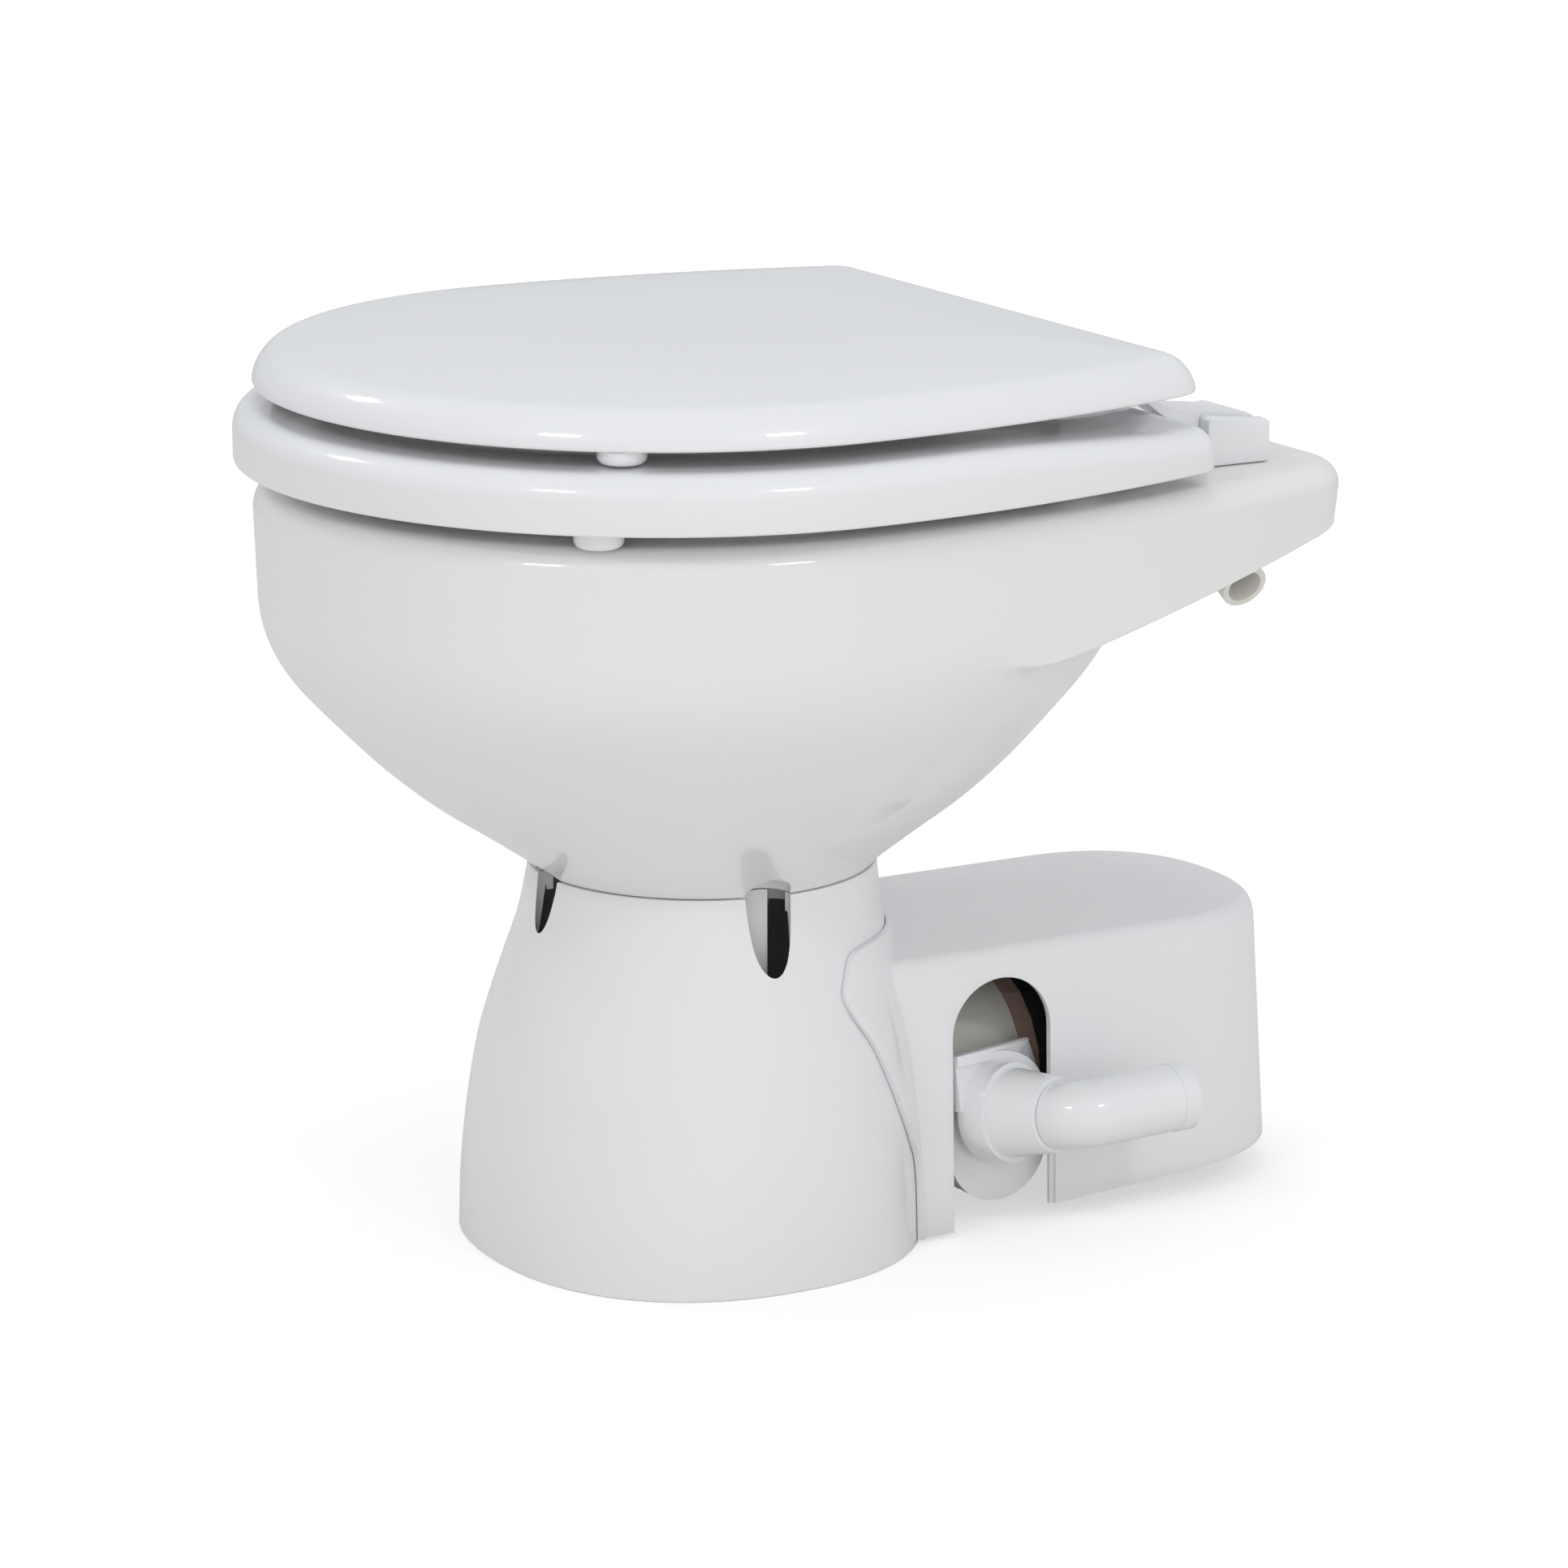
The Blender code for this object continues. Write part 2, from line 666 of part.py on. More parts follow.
def well_tools():
    low, high = FOOT_BOTTOM - WELL_DEPTH, FOOT_BOTTOM + WELL_RISE
    return [add_tool(f"well_{i + 1}_cutter",
                     rod_mesh("well", WELL_RADIUS, (x, y, low), (x, y, high), WELL_STEPS))
            for i, (x, y) in enumerate(foot_places(WELL_SIDE_REACH, WELL_END_REACH))]


def make_bowl(wells):
    bowl = add_piece("bowl", loft("bowl", bowl_rings(), wrap=True), LOOKS["china"], ORIGIN)
    cut(bowl, *wells)
    insert_top = FOOT_BOTTOM + INSERT_LENGTH + TOUCH
    for i, (x, y) in enumerate(bolt_places()):
        cut(bowl, add_tool(f"insert_{i + 1}_cutter",
                           rod_mesh("insert_hole", INSERT_RADIUS + TOUCH, (x, y, FOOT_BOTTOM - OVERRUN),
                                    (x, y, insert_top))))
    for side, sign in SIDES:
        x, y = sign * HINGE_X, HINGE_Y - STUD_FORWARD
        cut(bowl, underside_tool(f"stud_cutter_{side}", x, y, STUD_RADIUS + SLIDE, RIM_TOP + OVERRUN),
            underside_tool(f"nut_seat_{side}", x, y, WING_NUT_RADIUS + SLIDE,
                           deck_seat(x, y, WING_NUT_RADIUS) + TOUCH))
    floor = deck_seat(INLET_X, INLET_Y, GROMMET_RADIUS)
    cut(bowl, underside_tool("inlet_cutter", INLET_X, INLET_Y, GROMMET_RADIUS - GROMMET_LIP + SLIDE,
                             floor + SOCKET_DEPTH),
        underside_tool("inlet_seat", INLET_X, INLET_Y, GROMMET_RADIUS + SLIDE, floor + TOUCH))
    return bowl


def pedestal_size(share, grow=0.0):
    """Half width, half length and centre of the pedestal at a share of its height."""
    spread = lookup(PEDESTAL_SHARES, share)
    half_width = blend(PEDESTAL_TOP_RADIUS, PEDESTAL_HALF_WIDTH, spread) + grow
    half_length = blend(PEDESTAL_TOP_RADIUS, PEDESTAL_HALF_LENGTH, spread) + grow
    return half_width, half_length, blend(FOOT_CENTRE, PEDESTAL_CENTRE, spread)


def pedestal_point(share, angle, grow=0.0):
    """A point on the pedestal's skin; the angle turns from +X towards +Y."""
    half_width, half_length, centre = pedestal_size(share, grow)
    power = blend(PEDESTAL_POWER, 2.0, share)
    reach = ((abs(math.cos(angle)) / half_width) ** power + (abs(math.sin(angle)) / half_length) ** power)
    reach = reach ** (-1 / power)
    return Vector((reach * math.cos(angle), centre + reach * math.sin(angle), share * PEDESTAL_TOP))


def pedestal_angles():
    return [2 * math.pi * (i + 0.5) / PEDESTAL_POINTS for i in range(PEDESTAL_POINTS)]


def pedestal_ring(share, grow=0.0, height=None):
    ring = [pedestal_point(share, angle, grow) for angle in pedestal_angles()]
    if height is not None:
        for point in ring:
            point.z = height
    return ring


def shield_meshes():
    """Upright walls behind the wells, which hide the bolts and stiffen the top plate."""
    low, high = FOOT_BOTTOM - WELL_DEPTH, PEDESTAL_TOP - EDGE
    meshes = []
    for x, y in foot_places(WELL_SIDE_REACH, WELL_END_REACH):
        if x:
            far = math.copysign(abs(x) - WELL_RADIUS + SHIELD_INSET, x)
            near = far - math.copysign(SHIELD_THICKNESS, x)
            corners = ((near, y - SHIELD_HALF_WIDTH), (far, y + SHIELD_HALF_WIDTH))
        else:
            away = math.copysign(1, y)
            far = y - away * (WELL_RADIUS - SHIELD_INSET)
            corners = ((-SHIELD_HALF_WIDTH, far - away * SHIELD_THICKNESS), (SHIELD_HALF_WIDTH, far))
        spans = [sorted(span) for span in zip(*corners)]
        start, end = zip(*spans)
        meshes.append(box_mesh("shield", (*start, low), (*end, high)))
    return meshes


def make_pedestal(wells):
    outer = [pedestal_ring(share) for share, spread in PEDESTAL_SHARES]
    outer[-1] = pedestal_ring(1.0, height=PEDESTAL_TOP - EDGE)
    rim = pedestal_ring(1.0, -EDGE)
    inner = [pedestal_ring(share, -PEDESTAL_WALL) for share, spread in PEDESTAL_SHARES[:-1]]
    ceiling = pedestal_ring(1.0, -PEDESTAL_WALL, PEDESTAL_TOP - PEDESTAL_TOP_PLATE)
    angles = pedestal_angles()
    hole = BEND_RADIUS + SLIDE
    hole_top = circle(hole, PEDESTAL_TOP, FOOT_CENTRE, angles)
    hole_bottom = circle(hole, PEDESTAL_TOP - PEDESTAL_TOP_PLATE, FOOT_CENTRE, angles)
    rings = outer + [rim, hole_top, hole_bottom, ceiling] + list(reversed(inner))
    pedestal = add_piece("pedestal", loft("pedestal", rings, wrap=True), LOOKS["plastic"], ORIGIN)
    cut(pedestal, *wells)
    plate_low = PEDESTAL_TOP - PEDESTAL_TOP_PLATE - OVERRUN
    for i, (x, y) in enumerate(bolt_places()):
        cut(pedestal, add_tool(f"bolt_{i + 1}_cutter", rod_mesh("bolt_hole", BOLT_RADIUS + SLIDE,
                               (x, y, plate_low), (x, y, PEDESTAL_TOP + OVERRUN))))
    pad = add_tool("pump_pad", box_mesh("pump_pad", (-PAD_HALF_WIDTH, PAD_FRONT, PAD_BOTTOM),
                                        (PAD_HALF_WIDTH, PAD_REAR, PAD_TOP)))
    shields = [add_tool(f"shield_{i + 1}", mesh) for i, mesh in enumerate(shield_meshes())]
    join(pedestal, *shields, pad)
    pump_hole = rod_mesh("pump_hole", PUMP_RADIUS + SLIDE, (0, PAD_FRONT - OVERRUN, PUMP_Z),
                         (0, PAD_REAR + OVERRUN, PUMP_Z), ROUND_STEPS)
    cut(pedestal, add_tool("pump_cutter", pump_hole))
    for i, (x, z) in enumerate(pump_screw_places()):
        cut(pedestal, add_tool(f"screw_{i + 1}_cutter", rod_mesh("screw_hole", SCREW_RADIUS + TOUCH,
                               (x, PAD_REAR - SCREW_GRIP - TOUCH, z), (x, PAD_REAR + OVERRUN, z))))
    return pedestal


def pump_screw_places():
    angles = [QUARTER * (i + 0.5) for i in range(4)]
    return [(SCREW_CIRCLE * math.cos(a), PUMP_Z + SCREW_CIRCLE * math.sin(a)) for a in angles]


def make_bowl_fixings():
    gasket_top = FOOT_BOTTOM - TOUCH
    gasket_bottom = gasket_top - GASKET_THICKNESS
    add_turned("bowl_gasket", [(GASKET_RADIUS, gasket_top), (GASKET_RADIUS, gasket_bottom),
                               (DRAIN_RADIUS, gasket_bottom), (DRAIN_RADIUS, gasket_top)],
               (0, FOOT_CENTRE, 0), "Z", LOOKS["rubber"], ORIGIN)
    under_plate = PEDESTAL_TOP - PEDESTAL_TOP_PLATE - TOUCH
    washer_bottom = under_plate - BOLT_WASHER_THICKNESS
    head_bottom = washer_bottom - BOLT_HEAD_HEIGHT
    insert_low, insert_high = FOOT_BOTTOM, FOOT_BOTTOM + INSERT_LENGTH
    bolt = [(0, insert_high - EDGE), (BOLT_RADIUS, insert_high - EDGE), (BOLT_RADIUS, under_plate),
            (BOLT_WASHER_RADIUS, under_plate), (BOLT_WASHER_RADIUS, washer_bottom),
            (BOLT_HEAD_RADIUS, washer_bottom), (BOLT_HEAD_RADIUS, head_bottom), (0, head_bottom)]
    thread = BOLT_RADIUS + TOUCH
    insert = [(INSERT_RADIUS, insert_high), (INSERT_RADIUS, insert_low), (thread, insert_low),
              (thread, insert_high)]
    for i, (x, y) in enumerate(bolt_places()):
        add_turned(f"bowl_bolt_{i + 1}", bolt, (x, y, 0), "Z", LOOKS["steel"], ORIGIN, SMALL_STEPS)
        add_turned(f"bowl_insert_{i + 1}", insert, (x, y, 0), "Z", LOOKS["brass"], ORIGIN, SMALL_STEPS)


def cover_ring(height, inset):
    """The cover's plan: square in front, inside the pedestal, and a rounded D at the back."""
    share = height / COVER_TOP
    half = blend(COVER_HALF_WIDTH, COVER_TOP_HALF_WIDTH, share) - inset
    rear = blend(COVER_REAR, COVER_TOP_REAR, share) - inset
    start = rear - half
    points = [Vector((-half, COVER_FRONT, height)), Vector((half, COVER_FRONT, height))]
    for i in range(COVER_ARC_POINTS + 1):
        a = math.pi * i / COVER_ARC_POINTS
        power = 2 / COVER_POWER
        points.append(Vector((math.copysign(abs(math.cos(a)) ** power, math.cos(a)) * half,
                              start + math.sin(a) ** power * half, height)))
    return points


def cover_body(name, bottom, top, inset):
    rings = [cover_ring(bottom, inset)]
    for inward, down in SHOULDER_SHARES:
        rings.append(cover_ring(top - COVER_ROUNDING * down, inset + COVER_ROUNDING * inward))
    rings.append(cover_ring(top, inset + COVER_TOP_HALF_WIDTH / 2))
    return loft(name, rings)


def flange_mesh(name, sign):
    """The wave-edged flange that wraps the pedestal, as arcs on its skin from bottom to top."""
    rings = []
    for height, reach in FLANGE_SHARES:
        edge = FLANGE_REACH * reach
        level = blend(COVER_BOTTOM, COVER_TOP + COLLAR_HEIGHT, height) / PEDESTAL_TOP
        outer, inner = [], []
        for i in range(FLANGE_STEPS + 1):
            turn = blend(FLANGE_ROOT, edge, i / FLANGE_STEPS)
            for row, grow in ((outer, FLANGE_THICKNESS + TOUCH), (inner, -PEDESTAL_WALL / 2)):
                point = pedestal_point(level, QUARTER - turn, grow)
                row.append(Vector((sign * point.x, point.y, point.z)))
        rings.append(outer + list(reversed(inner)))
    return loft(name, rings)


def arch_tool(name, shift, near, far):
    radius = (ARCH_REAR - ARCH_FRONT) / 2
    middle = (ARCH_REAR + ARCH_FRONT) / 2 + shift
    outline = [(middle - radius, -OVERRUN), (middle + radius, -OVERRUN)]
    turns = [math.pi * i / ARCH_STEPS for i in range(ARCH_STEPS + 1)]
    outline += [(middle + radius * math.cos(a), ARCH_TOP - radius + radius * math.sin(a)) for a in turns]
    return add_tool(name, plate_mesh(name, outline, near, far))


def make_cover():
    cover = add_piece("motor_cover", cover_body("motor_cover", COVER_BOTTOM, COVER_TOP, 0.0),
                      LOOKS["plastic"], ORIGIN)
    inside = cover_body("cover_hollow", -OVERRUN, COVER_TOP - COVER_WALL, COVER_WALL)
    hollow = add_tool("cover_hollow", inside)
    for side, sign in SIDES:
        join(cover, add_tool(f"flange_{side}", flange_mesh(f"flange_{side}", sign)))
    cut(cover, hollow)
    clear = [pedestal_ring(share, TOUCH) for share, spread in PEDESTAL_SHARES]
    below = pedestal_ring(0.0, TOUCH, -OVERRUN)
    above = pedestal_ring(1.0, TOUCH, PEDESTAL_TOP + OVERRUN)
    cut(cover, add_tool("pedestal_cutter", loft("pedestal_cutter", [below] + clear + [above])))
    cut(cover, arch_tool("arch_cutter", 0.0, COVER_HALF_WIDTH / 2, COVER_HALF_WIDTH + OVERRUN))
    cut(cover, arch_tool("rebate_cutter", ARCH_REBATE, COVER_HALF_WIDTH - COVER_WALL / 2 - TOUCH,
                         COVER_HALF_WIDTH + OVERRUN))
    cut(cover, add_tool("lift_cutter", box_mesh("lift_cutter",
                        (-COVER_HALF_WIDTH - OVERRUN, (ARCH_FRONT + ARCH_REAR) / 2, -OVERRUN),
                        (COVER_HALF_WIDTH + OVERRUN, COVER_REAR + OVERRUN, COVER_BACK_BOTTOM))))
    return cover


def seat_outline(inset):
    return plan_outline(SEAT_HALF_WIDTH, SEAT_FRONT, SEAT_WIDEST, SEAT_REAR, SEAT_REAR_HALF_WIDTH,
                        SEAT_CORNER, inset)


def hole_outline(grow):
    return plan_outline(HOLE_HALF_WIDTH, HOLE_FRONT, HOLE_WIDEST, HOLE_REAR, HOLE_REAR_HALF_WIDTH,
                        HOLE_CORNER, -grow)


def seat_level(drop):
    """The seat's top, level in front and falling a little to the hinge."""
    def height(x, y):
        fall = smooth_step((y - SEAT_FALL) / (SEAT_REAR - SEAT_FALL))
        return blend(SEAT_TOP, SEAT_TOP_REAR, fall) - drop
    return height


def make_seat(parent):
    middle = [((ax + bx) / 2, (ay + by) / 2)
              for (ax, ay), (bx, by) in zip(seat_outline(0.0), hole_outline(0.0))]
    rings = [at_height(seat_outline(EDGE), SEAT_BOTTOM),
             at_height(seat_outline(0.0), SEAT_BOTTOM + EDGE),
             at_height(seat_outline(EDGE / 3), seat_level(SEAT_EDGE)),
             at_height(seat_outline(SEAT_EDGE / 3), seat_level(SEAT_EDGE / 3)),
             at_height(seat_outline(SEAT_EDGE), seat_level(0.0)),
             at_height(middle, seat_level(-SEAT_CROWN)),
             at_height(hole_outline(HOLE_ROUNDING), seat_level(0.0)),
             at_height(hole_outline(HOLE_ROUNDING / 3), seat_level(HOLE_ROUNDING / 3)),
             at_height(hole_outline(0.0), seat_level(HOLE_ROUNDING)),
             at_height(hole_outline(0.0), SEAT_BOTTOM + EDGE),
             at_height(hole_outline(EDGE), SEAT_BOTTOM)]
    seat = add_piece("seat", loft("seat", rings, wrap=True), LOOKS["plastic"], parent)
    for name, x, y in seat_buffer_places():
        cut(seat, add_tool(f"{name}_cutter", rod_mesh("peg_hole", PEG_RADIUS + TOUCH,
                           (x, y, SEAT_BOTTOM - OVERRUN), (x, y, SEAT_BOTTOM + PEG_LENGTH + TOUCH))))
        add_buffer(name, x, y, RIM_TOP + TOUCH, SEAT_BOTTOM - TOUCH, SEAT_BOTTOM + PEG_LENGTH, parent)
    for side, sign in SIDES:
        add_arm(f"seat_arm_{side}", sign, SEAT_ARM_INNER, seat_arm_outline(), parent)
    return seat


def seat_buffer_places():
    front_x, back_x = SEAT_HALF_WIDTH - SEAT_BUFFER_INSET, SEAT_HALF_WIDTH - SEAT_BUFFER_REAR_INSET
    return [("seat_buffer_1", front_x, -SEAT_BUFFER_REACH), ("seat_buffer_2", -front_x, -SEAT_BUFFER_REACH),
            ("seat_buffer_3", back_x, SEAT_BUFFER_REACH), ("seat_buffer_4", -back_x, SEAT_BUFFER_REACH)]


def add_buffer(name, x, y, low, high, peg_top, parent):
    """A soft dome with a peg that plugs into the seat or the lid."""
    round_off = BUFFER_RADIUS / 4
    profile = [(0, peg_top), (PEG_RADIUS, peg_top), (PEG_RADIUS, high), (BUFFER_RADIUS, high),
               (BUFFER_RADIUS, low + round_off), (BUFFER_RADIUS - round_off / 3, low + round_off / 3),
               (BUFFER_RADIUS - round_off, low), (0, low)]
    add_turned(name, profile, (x, y, 0), "Z", LOOKS["plastic"], parent, SMALL_STEPS)


def lid_outline(inset):
    return plan_outline(SEAT_HALF_WIDTH - LID_MARGIN, SEAT_FRONT + LID_MARGIN, SEAT_WIDEST, LID_REAR,
                        LID_REAR_HALF_WIDTH, LID_CORNER, inset)


def make_lid(parent):
    crease = LID_BOTTOM + LID_SIDE_HEIGHT
    inner_side = LID_LIP + LID_RECESS / 3
    ceiling = LID_BOTTOM + LID_RECESS
    side_up, side_in = LID_SIDE_SHARES
    rings = [at_height(lid_outline(LID_CROWN_START * 2), ceiling + LID_CROWN / 2),
             at_height(lid_outline(LID_CROWN_START), ceiling + LID_CROWN / 3),
             at_height(lid_outline(inner_side), ceiling - EDGE),
             at_height(lid_outline(LID_LIP), LID_BOTTOM),
             at_height(lid_outline(EDGE), LID_BOTTOM),
             at_height(lid_outline(0.0), LID_BOTTOM + EDGE),
             at_height(lid_outline(LID_SIDE_INSET * side_in), LID_BOTTOM + LID_SIDE_HEIGHT * side_up),
             at_height(lid_outline(LID_SIDE_INSET - EDGE), crease - EDGE / 2),
             at_height(lid_outline(LID_SIDE_INSET + 2 * EDGE), crease + EDGE / 2)]
    for inward, up in LID_CROWN_SHARES:
        rings.append(at_height(lid_outline(LID_CROWN_START * inward), crease + LID_CROWN * up))
    lid = add_piece("lid", loft("lid", rings), LOOKS["plastic"], parent)
    front = HINGE_Y - LID_PAD_FAR
    rear = HINGE_Y - LID_PAD_NEAR
    peg_top = ceiling + EDGE
    seat_face = SEAT_TOP + SEAT_CROWN + TOUCH
    for side, sign in SIDES:
        inner, outer = sorted((sign * LID_ARM_INNER, sign * (LID_ARM_INNER + ARM_WIDTH)))
        join(lid, add_tool(f"lid_pad_{side}", box_mesh("lid_pad", (inner, front, LID_BOTTOM),
                                                       (outer, rear, ceiling + EDGE))))
        add_arm(f"lid_arm_{side}", sign, LID_ARM_INNER, lid_arm_outline(), parent)
        x, y = sign * (SEAT_HALF_WIDTH - LID_BUFFER_INSET), LID_BUFFER_Y
        cut(lid, add_tool(f"lid_buffer_{side}_cutter", rod_mesh("peg_hole", PEG_RADIUS + TOUCH,
                          (x, y, LID_BOTTOM - OVERRUN), (x, y, peg_top + TOUCH))))
        add_buffer(f"lid_buffer_{side}", x, y, seat_face, LID_BOTTOM - TOUCH, peg_top, parent)
    return lid


def from_hinge(points):
    """Points given forward of the hinge pin and above it, as (y, z) places."""
    return [(HINGE_Y - forward, HINGE_Z + rise) for forward, rise in points]


def seat_arm_outline():
    face = HINGE_Y - SEAT_REAR - TOUCH
    under = SEAT_BOTTOM - HINGE_Z - TOUCH
    low = under - TAB_THICKNESS
    knuckle = KNUCKLE_RADIUS
    root = knuckle * ARM_ROOT_SHARES[0]
    top = [(face * reach, knuckle * rise) for reach, rise in SEAT_ARM_SHARES]
    return from_hinge([(0.0, knuckle)] + top + [(face, under), (face + TAB_LENGTH, under),
                                                (face + TAB_LENGTH, low), (2 * root, low),
                                                (root, -knuckle), (0.0, -knuckle)])


def lid_arm_outline():
    """Over the seat's back edge and up to the lid, low enough to pass the deck when thrown right back."""
    seat_edge = HINGE_Y - SEAT_REAR
    lid_edge = HINGE_Y - LID_REAR
    under_lid = LID_BOTTOM - HINGE_Z - TOUCH
    over_seat = SEAT_TOP_REAR - HINGE_Z
    knuckle = KNUCKLE_RADIUS
    root_reach, root_drop = ARM_ROOT_SHARES

    def by_seat(shares):
        return [(seat_edge * reach, over_seat + EDGE * rise) for reach, rise in shares]

    heel = [(lid_edge + EDGE * reach, over_seat + EDGE * rise) for reach, rise in LID_ARM_HEEL_SHARES]
    pad = [(lid_edge - EDGE, under_lid - 4 * EDGE), (lid_edge + EDGE, under_lid), (LID_PAD_FAR, under_lid),
           (LID_PAD_FAR, under_lid - ARM_THICKNESS)]
    root = [(knuckle * root_reach, -knuckle * root_drop), (0.0, -knuckle)]
    return from_hinge([(0.0, knuckle)] + by_seat(LID_ARM_TOP_SHARES) + pad + heel
                      + by_seat(LID_ARM_UNDER_SHARES) + root)


def add_arm(name, sign, inner, outline, parent):
    low, high = sorted((sign * inner, sign * (inner + ARM_WIDTH)))
    arm = add_piece(name, plate_mesh(name, outline, low, high), LOOKS["plastic"], parent)
    join(arm, add_tool(f"{name}_knuckle", rod_mesh("knuckle", KNUCKLE_RADIUS, (low, HINGE_Y, HINGE_Z),
                                                   (high, HINGE_Y, HINGE_Z), MIDDLE_STEPS)))
    cut(arm, add_tool(f"{name}_bore", rod_mesh("bore", PIN_RADIUS + TOUCH, (low - SLIDE, HINGE_Y, HINGE_Z),
                                               (high + SLIDE, HINGE_Y, HINGE_Z))))
    return arm


def make_hinges():
    base_low = RIM_TOP + TOUCH
    base_high = base_low + POST_BASE
    stud_y = HINGE_Y - STUD_FORWARD
    head_top = base_high - TOUCH
    head_low = head_top - STUD_HEAD
    for side, sign in SIDES:
        inner = HINGE_X - POST_HALF_WIDTH
        outer = HINGE_X + POST_HALF_WIDTH
        low, high = sorted((sign * inner, sign * outer))
        top = RIM_TOP + POST_HEIGHT
        outline = [(POST_FRONT, base_low), (POST_REAR, base_low), (POST_REAR, top - POST_FALL - EDGE),
                   (POST_REAR - EDGE, top - POST_FALL), (POST_FRONT + EDGE, top), (POST_FRONT, top - EDGE)]
        post = add_piece(f"hinge_post_{side}", plate_mesh("hinge_post", outline, low, high),
                         LOOKS["plastic"], ORIGIN)
        slot_low, slot_high = sorted((sign * (inner + EAR_THICKNESS), sign * (outer - EAR_THICKNESS)))
        slot = box_mesh("arm_slot", (slot_low, POST_FRONT - OVERRUN, base_high),
                        (slot_high, POST_REAR + OVERRUN, top + OVERRUN))
        cut(post, add_tool(f"arm_slot_{side}", slot))
        x = sign * HINGE_X
        cut(post, add_tool(f"pin_bore_{side}", rod_mesh("pin_bore", PIN_RADIUS + TOUCH,
                           (low - OVERRUN, HINGE_Y, HINGE_Z), (high + OVERRUN, HINGE_Y, HINGE_Z))),
            add_tool(f"stud_bore_{side}", rod_mesh("stud_bore", STUD_RADIUS + TOUCH,
                     (x, stud_y, base_low - OVERRUN), (x, stud_y, base_high + OVERRUN))),
            add_tool(f"stud_sink_{side}", rod_mesh("stud_sink", STUD_HEAD_RADIUS + TOUCH,
                     (x, stud_y, head_low - TOUCH), (x, stud_y, base_high + TOUCH))))
        pin_low, pin_high = sorted((sign * (inner + EDGE), sign * (outer - EDGE / 2)))
        add_piece(f"hinge_pin_{side}", rod_mesh("hinge_pin", PIN_RADIUS, (pin_low, HINGE_Y, HINGE_Z),
                                                (pin_high, HINGE_Y, HINGE_Z)), LOOKS["steel"], ORIGIN)
        bottom = head_top - STUD_LENGTH
        stud = [(0, head_top), (STUD_HEAD_RADIUS, head_top), (STUD_HEAD_RADIUS, head_low),
                (STUD_RADIUS, head_low), (STUD_RADIUS, bottom), (0, bottom)]
        add_turned(f"hinge_stud_{side}", stud, (x, stud_y, 0), "Z", LOOKS["steel"], ORIGIN, SMALL_STEPS)
        add_wing_nut(f"wing_nut_{side}", x, stud_y)


def add_wing_nut(name, x, y):
    top = deck_seat(x, y, WING_NUT_RADIUS)
    low = top - WING_NUT_HEIGHT
    nut = add_turned(name, [(WING_NUT_RADIUS, top), (WING_NUT_RADIUS, top - WING_NUT_HEIGHT / 3),
                            (WING_NUT_WAIST, low), (STUD_RADIUS + TOUCH, low), (STUD_RADIUS + TOUCH, top)],
                     (x, y, 0), "Z", LOOKS["plastic"], ORIGIN, MIDDLE_STEPS)
    for i, sign in enumerate((-1, 1)):
        near, far = sorted((sign * (WING_NUT_RADIUS + WING_NUT_WAIST) / 2, sign * WING_SPAN / 2))
        wing = box_mesh("wing", (x + near, y - WING_THICKNESS / 2, low - TOUCH),
                        (x + far, y + WING_THICKNESS / 2, low + WING_HEIGHT))
        join(nut, add_tool(f"{name}_wing_{i}", wing))


def add_hollow_tube(name, route, radius, bore, material, parent, rings=()):
    """A bent pipe: a bar along the route, any rings round it, and a thinner bar cut out of it."""
    pipe = add_piece(name, tube_mesh(name, route, radius), material, parent)
    join(pipe, *rings)
    first = route[0] + (route[0] - route[1]).normalized() * OVERRUN
    last = route[-1] + (route[-1] - route[-2]).normalized() * OVERRUN
    cut(pipe, add_tool(f"{name}_bore", tube_mesh(f"{name}_bore", [first] + route[1:-1] + [last], bore)))
    return pipe


def make_drain():
    end = PUMP_FRONT - INLET_LENGTH - TOUCH
    route = bend((0, FOOT_CENTRE, PEDESTAL_TOP), (0, FOOT_CENTRE, PUMP_Z), (0, end, PUMP_Z), BEND_TURN)
    add_hollow_tube("drain_bend", route, BEND_RADIUS, DRAIN_RADIUS, LOOKS["plastic"], ORIGIN)
    sleeve_rear, sleeve_front = PUMP_FRONT - TOUCH, end - SLEEVE_OVERLAP
    inner = BEND_RADIUS + SLIDE
    add_turned("drain_sleeve", [(inner + SLEEVE_WALL, sleeve_rear), (inner + SLEEVE_WALL, sleeve_front),
                                (inner, sleeve_front), (inner, sleeve_rear)],
               (0, 0, PUMP_Z), "Y", LOOKS["rubber"], ORIGIN)


def port_direction():
    level = math.cos(PORT_RISE)
    return Vector((level * math.cos(PORT_YAW), level * math.sin(PORT_YAW), math.sin(PORT_RISE)))


def port_place(reach):
    """A point on the port's axis, measured from its face."""
    return Vector((PORT_X, PORT_Y, PORT_Z)) + port_direction() * reach


